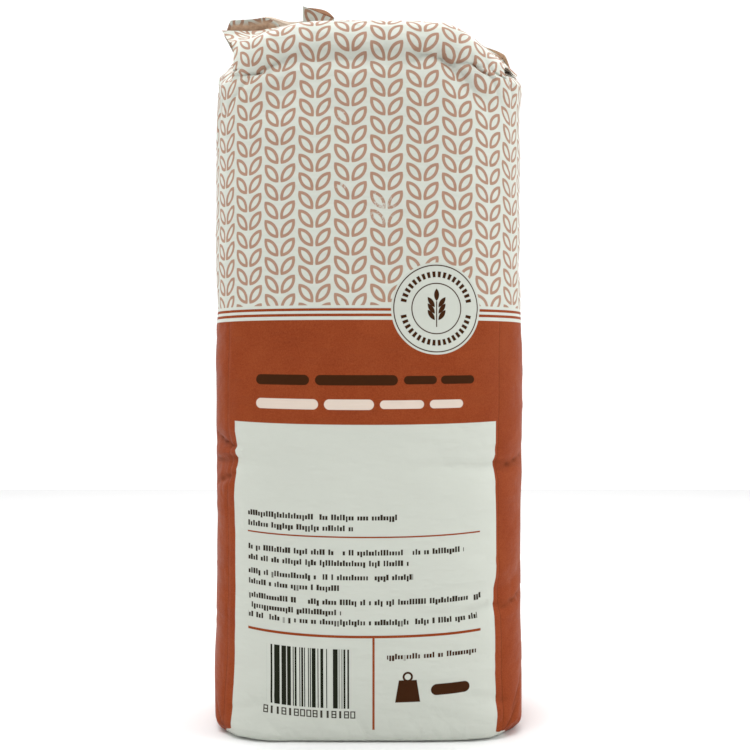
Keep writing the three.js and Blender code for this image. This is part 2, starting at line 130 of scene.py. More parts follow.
# Creases: (s, t, angle, reach along, spread across, depth). The broad ones are the solid's.
CREASES = [
    (-82, 156, -4, 24, 8, 2),
    (-78, 144, 6, 30, 9, 2.4),
    (70, 147, 3, 44, 10, 2),
    (72, 77, 20, 30, 10, 2.6),
    (-6, 360, 0, 70, 11, 4.2),
    (-64, 354, 12, 24, 9, 2),
    (40, 347, -47, 24, 10, 1.6),
    (190, 210, 12, 46, 11, 2.2),
    (-200, 120, -9, 40, 11, 2),
    (122, 258, 20, 32, 11, 1.8),
    (-124, 236, -16, 32, 11, 1.8),
    (56, 146.5, -1, 52, 4, 1.0),
    (90, 146.5, 12, 20, 4, 1.6),
    (66, 151, 4, 20, 5, -0.9),
    (90, 73, 13, 22, 4, 2.0),
    (46, 70.5, 4, 34, 4, 1.1),
    (62, 75.5, 9, 24, 5, -1.2),
    (-88, 148, 4, 20, 5, 2.6),
    (-90, 158, -14, 18, 5, 2.4),
    (-86, 138, 14, 18, 5, 2.0),
    (-70, 153, 0, 13, 5, -1.5),
    (-67, 142, 6, 18, 6, -1.9),
    (-62, 128, 0, 20, 8, -0.6),
    (45, 353, -55, 22, 3.5, 1.2),
    (-72, 345, 40, 26, 4, 1.0),
    (-50, 362, 24, 20, 4, 0.8),
    (82, 352, -60, 18, 4, 1.0),
    (98, 362, -20, 12, 3, 0.8),
    (-98, 330, 60, 24, 5, 0.9),
    (-30, 148, 3, 30, 6, 0.4),
    (-60, 20, 12, 20, 4, 0.7),
    (-60, 6, -12, 18, 7, -1.6),
    (-86, 10, -50, 14, 4, 1.3),
    (62, 24, -14, 20, 4, 0.7),
    (63, 12, 24, 16, 7, -1.6),
    (78, 8, 46, 16, 4, 1.9),
    (86, 22, 50, 14, 4, 1.2),
    (0, 14, 1, 56, 6, 0.5),
    (116, 356, 0, 44, 18, -2.6),
    (-110, 364, 0, 26, 12, -2.6),
    (-107, 353, -30, 16, 4, 1.0),
    (0, 366, 0, 50, 5, 1.2),
    (-64, 355, -15, 20, 4, 1.5),
    (-3, 369, 90, 7, 3, -0.8),
    (34, 364, -14, 18, 5.5, 2.2),
    (52, 364, 30, 16, 5.5, 2),
    (48, 354, -50, 24, 5.5, 2.4),
    (66, 354, -60, 26, 5.5, 2.4),
    (77, 362, -52, 22, 4, 1.8),
    (58, 342, -35, 28, 10, 2.4),
    (36, 350, -62, 22, 7, -1.6),
    (72, 336, -70, 24, 8, -1.4),
    (-40, 340, 30, 26, 12, 1.8),
    (20, 352, 60, 26, 10, 1.6),
    (-84, 368, -10, 16, 4, 1.3),
    (-24, 336, 80, 24, 9, 1.2),
]
# Fine creases at random: how many, and the ranges of their sizes. FINE_NEAR of them scatter
# round a folded edge, and FINE_RAISED stand out instead of in.
FINE_COUNT = 420
FINE_REACH = (5, 22)
FINE_SPREAD = (2.5, 6)
FINE_DEPTH = (0.08, 0.34)
FINE_T = (4, 372)
FINE_TILT = 35
FINE_NEAR = 0.6
FINE_SCATTER = 16
FINE_RAISED = 0.3
# Lines where the paper was folded flat: s, and their width and depth.
FOLD_LINES = (-80.5, 72.5, 121, 162.5, -162.5, -121)
FOLD_WIDTH = 2.2
FOLD_DEPTH = 0.35
# Narrow creases have a steep upper side, and the deeper of them carry a line that is painted
# dark as shade and made rougher.
SHARP_SPREAD = 6
STEEP_SIDE = 0.45
LINED_DEPTH = 0.6
CREASE_LINE_WIDTH = 1.0
# The glued seam up the back: where one edge of the sheet laps over the other.
SEAM_S = 268.0
SEAM_STEP = 0.8
SEAM_EDGE = 1.0
SEAM_LAP = 14.0
SEAM_FADE = 8.0
# Slow waves: (times round the tube, radians a millimetre up it, phase, height). They fade
# out towards the base.
SWELL_FULL_AT = 40.0
SWELLS = [
    (3, 0.016, 0.6, 0.4),
    (5, 0.029, 2.1, 0.3),
    (2, 0.041, 4.0, 0.25),
    (7, 0.11, 1.3, 0.12),
    (4, 0.19, 0.4, 0.09),
]
# Above this height on the paper, waves and creases fade out.
RELIEF_TO = 374.0
RELIEF_FADE = 20.0


def smooth(t):
    t = np.clip(t, 0, 1)
    return t * t * (3 - 2 * t)


def ramp(x, amount, start, over):
    return amount * smooth((x - start) / over)


def mix(a, b, t):
    return a + (b - a) * t


def point(x, y, z):
    return np.stack(np.broadcast_arrays(x, y, z), axis=-1).astype(float)


def profile(z, values):
    """A smooth curve through the key sections (cubic, with slopes from the neighbours)."""
    keys = SECTION_Z
    ends = np.clip(np.arange(len(keys))[:, None] + [-1, 1], 0, len(keys) - 1)
    slopes = (values[ends[:, 1]] - values[ends[:, 0]]) / (keys[ends[:, 1]] - keys[ends[:, 0]])
    i = int(np.clip(np.searchsorted(keys, z) - 1, 0, len(keys) - 2))
    span = keys[i + 1] - keys[i]
    t = (z - keys[i]) / span
    return (
        values[i] * (1 + 2 * t) * (1 - t) ** 2
        + slopes[i] * span * t * (1 - t) ** 2
        + values[i + 1] * t * t * (3 - 2 * t)
        + slopes[i + 1] * span * t * t * (t - 1)
    )


def half_section(half_width, half_depth, squareness):
    """Half a superellipse, from the middle of the front round to the middle of the back:
    x, y and the distance travelled."""
    angle = np.linspace(0, math.pi, ARC_SAMPLES + 1)
    x = half_width * np.abs(np.sin(angle)) ** (2 / squareness)
    y = -half_depth * np.abs(np.cos(angle)) ** (2 / squareness) * np.sign(np.cos(angle))
    travelled = np.concatenate([[0], np.cumsum(np.hypot(np.diff(x), np.diff(y)))])
    return x, y, travelled


def section_at(z):
    """The section at height z: its depth is whatever the fixed girth leaves."""
    half_width = profile(z, HALF_WIDTHS)
    squareness = profile(z, SQUARENESS)
    low, high = DEPTH_RANGE
    for _ in range(DEPTH_STEPS):
        middle = (low + high) / 2
        short = half_section(half_width, middle, squareness)[2][-1] * 2 < GIRTH
        low, high = (middle, high) if short else (low, middle)

    def inset(radius):
        return radius * (1 - math.sqrt(1 - (1 - min(1, z / radius)) ** 2))

    half_depth = (low + high) / 2 - inset(BASE_ROUND)
    return half_section(half_width - inset(SIDE_ROUND), half_depth, squareness)


def on_section(section, s, z):
    """Points at the distances s round a section, s from -GIRTH / 2 to GIRTH / 2."""
    x, y, travelled = section
    distance = np.abs(s) / (GIRTH / 2) * travelled[-1]
    side = np.where(s < 0, -1, 1)
    return point(side * np.interp(distance, travelled, x), np.interp(distance, travelled, y), z)


def along_ear(x):
    return np.clip((np.abs(x) - EAR_START) / (RIDGE_HALF - EAR_START), 0, 1)


def along_crush(x):
    return np.clip((x - RIDGE_RIGHT_START) / (RIDGE_HALF - RIDGE_RIGHT_START), 0, 1)


def ridge_height(x):
    notch = NOTCH_DEPTH * np.maximum(0, 1 - ((x - NOTCH_X) / NOTCH_HALF) ** 2)
    crushed = RIDGE_RIGHT_DROP * along_crush(x) ** RIDGE_RIGHT_POWER
    return RIDGE_Z - ramp(-x, *RIDGE_LEFT_DROP) - notch - crushed


def ridge_forward(x):
    return -RIDGE_RIGHT_FORWARD * along_crush(x) ** 2


def ear_rise(x):
    def rise(ear):
        from_tip = smooth((RIDGE_HALF - np.abs(x)) / ear["tip"])
        return ear["rise"] * from_tip * smooth((np.abs(x) - ear["from"]) / ear["span"])

    return np.where(x < 0, rise(LEFT_EAR), rise(RIGHT_EAR))


def front_lip(x):
    return point(x, ridge_forward(x) - LIP - EAR_FRONT_OPENING * along_ear(x), ridge_height(x))


def rear_lip(x):
    back = ridge_forward(x) + LIP + EAR_REAR_OPENING * along_ear(x)
    return point(x, back, ridge_height(x) + ear_rise(x))


def edge_height(x):
    return EDGE_Z - ramp(-x, *EDGE_LEFT_DROP) - ramp(x, *EDGE_RIGHT_DROP)


def panel_points(section, s, v, back):
    """The front or back panel above the shoulder, rows by v and columns by s: up, over a
    rolled edge, and back to the ridge."""
    across = np.where(s < 0, -1, 1) * (GIRTH / 2 - np.abs(s)) if back else s
    ridge_x = across * RIDGE_HALF / (PANEL_WIDTH / 2)
    foot = on_section(section, s, SHOULDER_Z)
    lip = rear_lip(ridge_x) if back else front_lip(ridge_x)
    neck = 1 - ramp(np.abs(across), *EDGE_NECK)
    edge = point(foot[:, 0] * neck, foot[:, 1], edge_height(across))
    rise = np.linalg.norm(edge - foot, axis=1, keepdims=True)
    roof = np.linalg.norm(edge - lip, axis=1, keepdims=True)
    roll_start = mix(edge, foot, np.minimum(EDGE_ROUND_MOST, EDGE_ROUND / rise))
    roll_end = mix(edge, lip, np.minimum(EDGE_ROUND_MOST, EDGE_ROUND / roof))
    v = np.asarray(v)[:, None, None]
    turn = (v - ROLL_FROM) / (ROLL_TO - ROLL_FROM)
    below = mix(foot, roll_start, v / ROLL_FROM)
    rolled = mix(mix(roll_start, edge, turn), mix(edge, roll_end, turn), turn)
    end = (v - ROLL_TO) / (1 - ROLL_TO)
    ear = along_ear(ridge_x)
    narrow = np.where(across < 0, LEFT_PINCH_NARROW, 0) * ear
    pinch = np.where(across < 0, LEFT_PINCH, RIGHT_PINCH) * ear
    throat = lip + point(narrow, (1 if back else -1) * PINCH_THROAT, -pinch)
    above = mix(mix(roll_end, throat, end), mix(throat, lip, end), end)
    return np.where(v < ROLL_FROM, below, np.where(v > ROLL_TO, above, rolled))


def gusset_points(section, s, v, side, back):
    """Half a gusset above the shoulder: two flat triangles that meet in a diagonal crease,
    bent to the curved edges that they share with their neighbours."""
    half = GUSSET_WIDTH / 2
    crease_s = side * (PANEL_WIDTH / 2 + (GUSSET_WIDTH if back else 0))
    edge = panel_points(section, np.array([crease_s]), v, back)
    corner, tip = edge[0, 0], edge[-1, 0]
    middle = on_section(section, np.array([side * (PANEL_WIDTH / 2 + half)]), SHOULDER_Z)[0]
    apex_x = side * EAR_START
    apex = point(apex_x, ridge_forward(apex_x), ridge_height(apex_x) - TUCK_DROP)
    across = np.abs(s - crease_s) / half
    a = across[None, :, None]
    w = np.asarray(v)[:, None, None]
    lip_x = side * (RIDGE_HALF + (EAR_START - RIDGE_HALF) * across)
    lip = rear_lip(lip_x) if back else front_lip(lip_x)
    lip[:, 1] += (-1 if back else 1) * EAR_WALL * np.minimum(1, across / EAR_WALL_OVER)
    lip[:, 2] -= TUCK_DROP * across**TUCK_CURVE
    bulge_share = LEFT_TUCK_BULGE if side < 0 else RIGHT_TUCK_BULGE
    bulge = point(middle[0], 0, SHOULDER_Z + (apex[2] - SHOULDER_Z) * bulge_share)
    midline = mix(mix(middle, bulge, w), mix(bulge, apex, w), w)
    flat = mix(corner, middle, a)
    foot = on_section(section, s, SHOULDER_Z)[None] - flat
    lower = flat + (apex - middle) * w
    lower = lower + foot * np.where(a > 0, 1 - w / np.maximum(a, TINY), 1)
    bend = midline - mix(middle, apex, w)
    lower = lower + bend * np.where(w < 1, (a - w) / np.maximum(1 - w, TINY), 1)
    upper = mix(corner, tip, w) + (apex - tip) * a
    upper = upper + (edge - mix(corner, tip, w)) * (1 - a / np.maximum(w, TINY))
    upper = upper - np.array([0, 0, TUCK_SAG]) * a * np.maximum(0, w - a) * (1 - w)
    top = lip[None] - mix(tip, apex, a)
    upper = upper + top * (w - a) / np.maximum(1 - a, TINY)
    return np.where(a >= w, lower, upper)


def column_places():
    """Columns round the tube, from the middle of the left gusset through the front; s runs
    on past the middle of the back."""
    half = PANEL_WIDTH / 2
    quarter = GUSSET_WIDTH / 2
    runs = [
        (-half - quarter, -half, EAR_COLUMNS),
        (-half, -EAR_START, EAR_COLUMNS),
        (-EAR_START, EAR_START, MIDDLE_COLUMNS),
        (EAR_START, half, EAR_COLUMNS),
        (half, half + GUSSET_WIDTH, 2 * EAR_COLUMNS),
        (half + GUSSET_WIDTH, GIRTH / 2 - EAR_START, EAR_COLUMNS),
        (GIRTH / 2 - EAR_START, GIRTH / 2 + EAR_START, MIDDLE_COLUMNS),
        (GIRTH / 2 + EAR_START, GIRTH / 2 + half, EAR_COLUMNS),
        (GIRTH / 2 + half, GIRTH - half - quarter, EAR_COLUMNS),
    ]
    return np.concatenate([np.linspace(*run, endpoint=False) for run in runs])


def row_heights():
    rows = np.linspace(BASE_ROWS[-1], SHOULDER_Z, BODY_ROWS + 1)[1:]
    return np.concatenate([BASE_ROWS, rows])


def wrapped(s):
    """s brought into the range from -GIRTH / 2 to GIRTH / 2."""
    return np.where(s > GIRTH / 2, s - GIRTH, s)


def fine_creases():
    """Small random creases, more of them near the folded edges than on the flats."""
    draw = np.random.default_rng(SEED)
    near = draw.choice(FOLD_LINES, FINE_COUNT) + draw.normal(0, FINE_SCATTER, FINE_COUNT)
    anywhere = draw.uniform(-GIRTH / 2, GIRTH / 2, FINE_COUNT)
    s = np.where(draw.random(FINE_COUNT) < FINE_NEAR, near, anywhere)
    t = draw.uniform(*FINE_T, FINE_COUNT)
    angle = draw.normal(0, FINE_TILT, FINE_COUNT)
    sizes = [draw.uniform(*span, FINE_COUNT) for span in (FINE_REACH, FINE_SPREAD, FINE_DEPTH)]
    sizes[2] *= draw.choice([-1, 1], FINE_COUNT, p=[FINE_RAISED, 1 - FINE_RAISED])
    return list(zip(s, t, angle, *sizes))


def crease_places(crease, s, t):
    """(share of the way along, distance off) of places near a crease, and which are near."""
    crease_s, crease_t, degrees, reach, spread, _ = crease
    angle = math.radians(degrees)
    span = math.hypot(reach, spread)
    ds = (s - crease_s + GIRTH / 2) % GIRTH - GIRTH / 2
    dt = t - crease_t
    near = (np.abs(ds) < span) & (np.abs(dt) < span)
    ds, dt = ds[near], dt[near]
    along = (ds * math.cos(angle) + dt * math.sin(angle)) / reach
    return along, dt * math.cos(angle) - ds * math.sin(angle), near


def relief(s, t, creases):
    """How far the paper is pressed in or out at a place on it, and how strongly a crease line
    lies there, which is painted dark as shade and made rougher.
    """
    s, t = np.broadcast_arrays(s, t)
    out = np.zeros(s.shape)
    for times, up, phase, height in SWELLS:
        out += height * np.sin(2 * math.pi * times / GIRTH * s + up * t + phase)
    out *= smooth(t / SWELL_FULL_AT)
    wear_and_shade = np.zeros(s.shape)
    for crease in creases:
        along, off, near = crease_places(crease, s, t)
        spread, depth = crease[4:]
        fade = np.maximum(0, 1 - along**2)
        steep = STEEP_SIDE if spread < SHARP_SPREAD else 1
        across = np.where(off > 0, off / steep, -off) / spread
        out[near] -= depth * np.maximum(0, 1 - across) * fade
        if depth >= LINED_DEPTH and spread < SHARP_SPREAD:
            line = np.exp(-((off / CREASE_LINE_WIDTH) ** 2)) * fade * min(1, depth)
            wear_and_shade[near] = np.maximum(wear_and_shade[near], line)
    lap = s % GIRTH - SEAM_S
    out += SEAM_STEP * smooth(lap / SEAM_EDGE) * (1 - smooth((lap - SEAM_LAP) / SEAM_FADE))
    for line_s in FOLD_LINES:
        off = np.abs((s - line_s + GIRTH / 2) % GIRTH - GIRTH / 2)
        out -= FOLD_DEPTH * np.maximum(0, 1 - off / FOLD_WIDTH)
    return out, wear_and_shade


def gable(columns, v):
    """The skin above the shoulder, rows by v."""
    shoulder = section_at(SHOULDER_Z)
    half, quarter = PANEL_WIDTH / 2, GUSSET_WIDTH / 2
    s = wrapped(columns)
    rows = np.zeros((len(v), len(s), 3))
    for back, chosen in ((False, np.abs(s) <= half), (True, np.abs(s) >= half + GUSSET_WIDTH)):
        rows[:, chosen] = panel_points(shoulder, s[chosen], v, back)
    for side in (-1, 1):
        for back in (False, True):
            near = np.abs(s) > half if not back else np.abs(s) > half + quarter
            far = np.abs(s) <= half + quarter if not back else np.abs(s) < half + GUSSET_WIDTH
            chosen = near & far & (np.sign(s) == side)
            rows[:, chosen] = gusset_points(shoulder, s[chosen], v, side, back)
    return rows


def ear_shade(s, below_lip):
    """How much painted shade a place takes on the rear wall of an ear, a little below its rim.
    """
    rear = (np.abs(s) > GIRTH / 4) & (np.abs(s) < PANEL_WIDTH / 2 + GUSSET_WIDTH - 1)
    rim = np.where(s < 0, EAR_RIM, -EAR_FADE)
    deepest = np.where(s < 0, LEFT_EAR_SHADE, RIGHT_EAR_SHADE)
    shade = 1 + deepest * smooth(below_lip / EAR_SHADE_OVER) / EAR_SHADE_MARK
    return rear * smooth((below_lip - rim) / EAR_FADE) * (below_lip < EAR_DEEP) * shade


def skin():
    """The points of the bag's skin, and s, t and the crease wear and painted shade at each, with
    the first column again at the end."""
    columns = column_places()
    heights = row_heights()
    body = [on_section(section_at(z), wrapped(columns), z) for z in heights]
    v = np.linspace(0, 1, GABLE_ROWS + 1)
    points = np.concatenate([body, gable(columns, v)[1:]])
    t = np.concatenate([heights, SHOULDER_Z + GABLE_PAPER * v[1:]])
    right = np.roll(points, -1, axis=1) - np.roll(points, 1, axis=1)
    up = np.gradient(points, axis=0)
    normal = np.cross(right, up)
    normal /= np.maximum(np.linalg.norm(normal, axis=2, keepdims=True), TINY)
    fade = 1 - ramp(t, 1, RELIEF_TO, RELIEF_FADE)[:, None]
    fade[0] = 0
    creases = [*CREASES, *fine_creases()]
    pressed, wear_and_shade = relief(wrapped(columns)[None], t[:, None], creases)
    pressed *= fade
    paper = np.repeat(t[:, None], len(columns), axis=1)
    first = len(heights)
    steps = np.linalg.norm(np.diff(points[first - 1 :], axis=0), axis=2)
    paper[first:] = SHOULDER_Z + np.cumsum(steps, axis=0)
    # The third place value also carries the painted shade in the ears.
    wear_and_shade = np.maximum(wear_and_shade, EAR_SHADE_MARK * ear_shade(wrapped(columns), paper[-1] - paper))
    spots = point(columns[None], paper, wear_and_shade)
    spots = np.concatenate([spots, spots[:, :1] + [GIRTH, 0, 0]], axis=1)
    return points + normal * pressed[:, :, None], spots.tolist()


def press_corners(points):
    """What lies beyond a slanting plane at each bottom corner is pressed onto it."""
    side = np.where(points[..., :1] < 0, -1.0, 1.0)
    front = np.where(points[..., 1:2] < 0, -1.0, 1.0)
    normal = CORNER_NORMAL / np.linalg.norm(CORNER_NORMAL)
    normal = np.concatenate([normal[0] * side, normal[1] * front, side * 0 + normal[2]], axis=-1)
    cut_x = np.where(side < 0, -CORNER_LEFT_X, CORNER_RIGHT_X)
    on = np.concatenate([cut_x, CORNER_Y * front, side * 0], axis=-1)
    beyond = np.sum((points - on) * normal, axis=-1, keepdims=True)
    pressed = points - normal * np.maximum(0, beyond)
    pressed[..., 2] = np.maximum(0, pressed[..., 2])
    return pressed


# Meshes. A piece's faces take its first, second or third material.
OUTSIDE = 0
CUT_EDGE = 1
UNDERSIDE = 2
SHARP_FROM = math.radians(55)
FIN_REACH = 57.0  # half the length of the closing fold
FIN_DEPTH = 0.25  # how far it reaches down the roof, as a share of the gable's paper
FIN_THICKNESS = 1.4
FIN_SINK = 0.6
FIN_GRID = (60, 14)
SLOPE_STEP = 0.01  # share of the way down the roof over which its slope is measured


def make_piece(name, points, faces, places, materials, finish):
    """A piece of the bag. places holds s, t and the wear and painted shade for every corner of
    every face, and finish the number of each face's material."""
    mesh = bpy.data.meshes.new(name)
    mesh.from_pydata((points * MM).tolist(), [], faces)
    for material in materials:
        mesh.materials.append(material)
    mesh.polygons.foreach_set("material_index", finish)
    paper = mesh.attributes.new("paper", "FLOAT_VECTOR", "CORNER")
    corners = np.array([place for block in places for place in block])
    paper.data.foreach_set("vector", corners.astype(np.float32).ravel())
    mesh.polygons.foreach_set("use_smooth", [True] * len(mesh.polygons))
    mesh.set_sharp_from_angle(angle=SHARP_FROM)
    mesh.update()
    piece = bpy.data.objects.new(name, mesh)
    bpy.context.scene.collection.objects.link(piece)
    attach(piece, "root")
    return piece


def bag_skin(paper, edge_paper, base):
    """The closed skin: grid, base, and the strips that close the ridge and the ears."""
    points, spots = skin()
    points = press_corners(points)
    points[0, :, 2] = 0
    rows, count = points.shape[:2]
    rings = [points[0] * [share, share, 1] for share in BASE_RINGS]
    everything = np.concatenate([points.reshape(-1, 3), *rings, [[0, 0, 0]]])
    faces, places, finish = [], [], []

    def add(corners, where, index):
        faces.append(tuple(int(k) for k in corners))
        places.append(where)
        finish.append(index)

    left_crease = EAR_COLUMNS
    right_crease = left_crease + 2 * EAR_COLUMNS + MIDDLE_COLUMNS
    right_apex = right_crease + EAR_COLUMNS
    right_rear_crease = right_apex + EAR_COLUMNS
    left_rear_crease = right_rear_crease + 2 * EAR_COLUMNS + MIDDLE_COLUMNS
    for r in range(rows - 1):
        for c in range(count):
            a, b = r * count + c, r * count + (c + 1) % count
            quad = [a, b, b + count, a + count]
            where = [spots[r][c], spots[r][c + 1], spots[r + 1][c + 1], spots[r + 1][c]]
            if r < rows - 1 - GABLE_ROWS:
                add(quad, where, OUTSIDE)
                continue
            if c < left_crease or right_apex <= c < right_rear_crease:
                quad, where = quad[1:] + quad[:1], where[1:] + where[:1]
            add(quad[:3], where[:3], OUTSIDE)
            add([quad[0], *quad[2:]], [where[0], *where[2:]], OUTSIDE)

    def strip(*corners):
        """A face between the edges of the sheet, which shows the bare cut edge of the paper."""
        chosen = [(c + count) % count for c in corners]
        where = [(*spots[-1][c][:2], 0) for c in chosen]
        add([(rows - 1) * count + c for c in chosen], where, CUT_EDGE)

    for crease in (left_crease, right_crease, right_rear_crease, left_rear_crease):
        strip(crease, crease + 1, crease - 1)
        for i in range(1, EAR_COLUMNS):
            strip(crease - i, crease + i, crease + i + 1, crease - i - 1)
    front_left = left_crease + EAR_COLUMNS
    back_left = left_rear_crease - EAR_COLUMNS
    for i in range(MIDDLE_COLUMNS):
        strip(front_left + i, front_left + i + 1, back_left - i - 1, back_left - i)
    strip(0, front_left, back_left)
    strip(right_apex, back_left - MIDDLE_COLUMNS, front_left + MIDDLE_COLUMNS)

    def base_face(*corners):
        add(corners, [(*everything[k][:2], 0) for k in corners], UNDERSIDE)

    centre = len(everything) - 1
    starts = [0, *range(rows * count, centre, count)]
    for outer, inner in zip(starts, starts[1:]):
        for c in range(count):
            d = (c + 1) % count
            base_face(outer + d, outer + c, inner + c, inner + d)
    for c in range(count):
        base_face(centre, starts[-1] + (c + 1) % count, starts[-1] + c)
    piece = make_piece("flour_bag", everything, faces, places, [paper, edge_paper, base], finish)
    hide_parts("bag")


def plate(name, outer, inner, places, materials):
    """A closed plate between two sheets of points with the same rows and columns; the inner
    sheet and the edges take the second material."""
    rows, count = outer.shape[:2]
    under = rows * count
    points = np.concatenate([outer.reshape(-1, 3), inner.reshape(-1, 3)])
    spots = places.reshape(-1, 3)
    faces, where, finish = [], [], []

    def add(corners, index):
        faces.append(tuple(int(k) for k in corners))
        where.append([tuple(spots[int(k) % under]) for k in corners])
        finish.append(index)

    for r in range(rows - 1):
        for c in range(count - 1):
            a = r * count + c
            quad = [a, a + 1, a + count + 1, a + count]
            add(quad, OUTSIDE)
            add([under + k for k in reversed(quad)], CUT_EDGE)
    rim = list(range(count))
    rim += [r * count + count - 1 for r in range(1, rows)]
    rim += [(rows - 1) * count + c for c in range(count - 2, -1, -1)]
    rim += [r * count for r in range(rows - 2, 0, -1)]
    for a, b in zip(rim, rim[1:] + rim[:1]):
        add([b, a, under + a, under + b], CUT_EDGE)
    return make_piece(name, points, faces, where, materials, finish)


def closing_fold(paper, inner_paper):
    """The closing fold, glued down on the back slope from the ridge."""
    columns, rows = FIN_GRID
    across = np.linspace(-FIN_REACH, FIN_REACH, columns + 1)
    s = np.where(across < 0, -1, 1) * (GIRTH / 2 - np.abs(across))
    v = 1 - np.linspace(0, FIN_DEPTH, rows + 1)
    shoulder = section_at(SHOULDER_Z)
    here = panel_points(shoulder, s, v, True)
    down = panel_points(shoulder, s, v - SLOPE_STEP, True) - here
    normal = -np.cross(down, [1, 0, 0])
    normal /= np.linalg.norm(normal, axis=2, keepdims=True)
    t = SHOULDER_Z + GABLE_PAPER * (2 - v)
    places = point(s[None], t[:, None], 0)
    outer = here + normal * FIN_THICKNESS
    return plate("closing_fold", outer, here - normal * FIN_SINK, places, [paper, inner_paper])


# The corner of the closing fold that has come unstuck: a front layer that ends in a slanting
# crease, and a rear layer that curls up behind it.
TAB_LEFT = -37.2
TAB_RIGHT = -19.5
TAB_BASE = 5.0
TAB_TIP = 9.1
TAB_END = 2.4
TAB_CURL = 0.69
TAB_CURL_POWER = 4
TAB_GAP = 1.6
TAB_FRONT_LEAN = 0.5
TAB_REAR_LEAN = 0.4
TAB_PAPER = 0.35
TAB_SHADE = 1.3
TAB_GRID = (18, 14)


def tab_front_height(u):
    return mix(TAB_TIP, TAB_END, u)


def tab_rear_height(u):
    return TAB_TIP * (1 - TAB_CURL * u**TAB_CURL_POWER)


def tab_front_lean(u):
    return -TAB_GAP * (1 - u) - TAB_FRONT_LEAN


def tab_rear_lean(u):
    return TAB_GAP * np.sin(math.pi * u) + TAB_REAR_LEAN


def tab_layer(name, height_at, lean_at, materials):
    """A sheet that stands on the ridge; height_at and lean_at take 0 to 1 along it. Its third
    place value tells how deep a spot lies behind the front layer, where shade is painted; the
    front layer counts as deep all over."""
    columns, rows = TAB_GRID
    across = np.linspace(0, 1, columns + 1)
    x = mix(TAB_LEFT, TAB_RIGHT, across)
    up = np.linspace(0, 1, rows + 1)[:, None] * (height_at(across) + TAB_BASE)[None]
    lean = lean_at(across)[None] * (up / up.max()) ** 2
    z = ridge_height(x)[None] - TAB_BASE + up
    above = up - TAB_BASE - tab_front_height(across)[None]
    t = SHOULDER_Z + GABLE_PAPER - TAB_BASE + up
    spots = point(x[None], t, 1 - smooth(above / TAB_SHADE))
    front = point(x[None], lean - TAB_PAPER / 2, z)
    return plate(name, front, front + [0, TAB_PAPER, 0], spots, materials)


def lifted_corner(paper, inner_paper, shaded_fold_paper):
    front = [paper, inner_paper]
    tab_layer("lifted_corner_front", tab_front_height, tab_front_lean, front)
    tab_layer("lifted_corner_rear", tab_rear_height, tab_rear_lean, [shaded_fold_paper, paper])


# Materials. A Field is a number that a material's nodes work out at each place.
class Field:
    def __init__(self, tree, socket):
        self.tree = tree
        self.socket = socket

    def apply(self, operation, *values, clamp=False):
        node = self.tree.nodes.new("ShaderNodeMath")
        node.operation = operation
        node.use_clamp = clamp
        for socket, value in zip(node.inputs, (self, *values)):
            feed(self.tree, value, socket)
        return Field(self.tree, node.outputs[0])

    def __add__(self, other):
        return self.apply("ADD", other)

    def __sub__(self, other):
        return self.apply("SUBTRACT", other)

    def __mul__(self, other):
        return self.apply("MULTIPLY", other)

    def __truediv__(self, other):
        return self.apply("DIVIDE", other)

    def __rsub__(self, other):
        return self * -1 + other

    def abs(self):
        return self.apply("ABSOLUTE")

    def floor(self):
        return self.apply("FLOOR")

    def least(self, other):
        return self.apply("MINIMUM", other)

    def most(self, other):
        return self.apply("MAXIMUM", other)

    def clamped(self):
        return self.apply("ADD", 0.0, clamp=True)

    def wrap(self, low, high):
        return self.apply("WRAP", high, low)


def feed(tree, value, socket):
    """Links a field or a node's output to a socket, or sets a plain value on it."""
    if isinstance(value, Field):
        value = value.socket
    if isinstance(value, bpy.types.NodeSocket):
        tree.links.new(value, socket)
    else:
        socket.default_value = value


def least(fields):
    found = fields[0]
    for field in fields[1:]:
        found = found.least(field)
    return found


def length(x, y):
    return (x * x + y * y).apply("SQRT")


# Shapes on the paper, as signed distances in millimetres, negative inside.
INK_EDGE = 0.25  # over this distance a shape's edge fades


def band(t, low, high):
    return (t - (low + high) / 2).abs() - (high - low) / 2


def bar(s, t, left, right, bottom, top):
    return band(s, left, right).most(band(t, bottom, top))


def pill(s, t, left, right, middle, height):
    """A bar with round ends."""
    radius = height / 2
    across = ((s - (left + right) / 2).abs() - ((right - left) / 2 - radius)).most(0)
    return length(across, t - middle) - radius


def disc(s, t, centre, radius):
    return length(s - centre[0], t - centre[1]) - radius


def outline(shape, width):
    return shape.abs() - width / 2


def grain(x, y, degrees, half_length, half_width):
    """A pointed oval about the origin: where two equal discs overlap."""
    angle = math.radians(degrees)
    along = x * math.cos(angle) + y * math.sin(angle)
    off = (y * math.cos(angle) - x * math.sin(angle)).abs()
    radius = (half_length**2 + half_width**2) / (2 * half_width)
    return length(along, off + (radius - half_width)) - radius


def inked(shape):
    """How much ink covers the paper: 1 in the shape and 0 outside."""
    return (shape * (-1 / INK_EDGE)).apply("ADD", 0.5, clamp=True)


def linear(red, green, blue):
    """A colour as the screen shows it, 0 to 255, in the numbers that a shader takes."""

    def one(value):
        value /= 255
        return value / 12.92 if value <= 0.04045 else ((value + 0.055) / 1.055) ** 2.4

    return (one(red), one(green), one(blue), 1)


def noise(tree, vector, scale, detail, roughness):
    node = tree.nodes.new("ShaderNodeTexNoise")
    node.inputs["Scale"].default_value = scale
    node.inputs["Detail"].default_value = detail
    node.inputs["Roughness"].default_value = roughness
    tree.links.new(vector, node.inputs["Vector"])
    return Field(tree, node.outputs["Fac"])


# Where a mix node has its factor, its two colours and the mixed colour.
MIX_INPUTS = (0, 6, 7)
MIX_OUTPUT = 2


def painted(tree, below, ink, cover):
    """The colour below with ink over it."""
    node = tree.nodes.new("ShaderNodeMix")
    node.data_type = "RGBA"
    for value, number in zip((cover, below, ink), MIX_INPUTS):
        feed(tree, value, node.inputs[number])
    return node.outputs[MIX_OUTPUT]
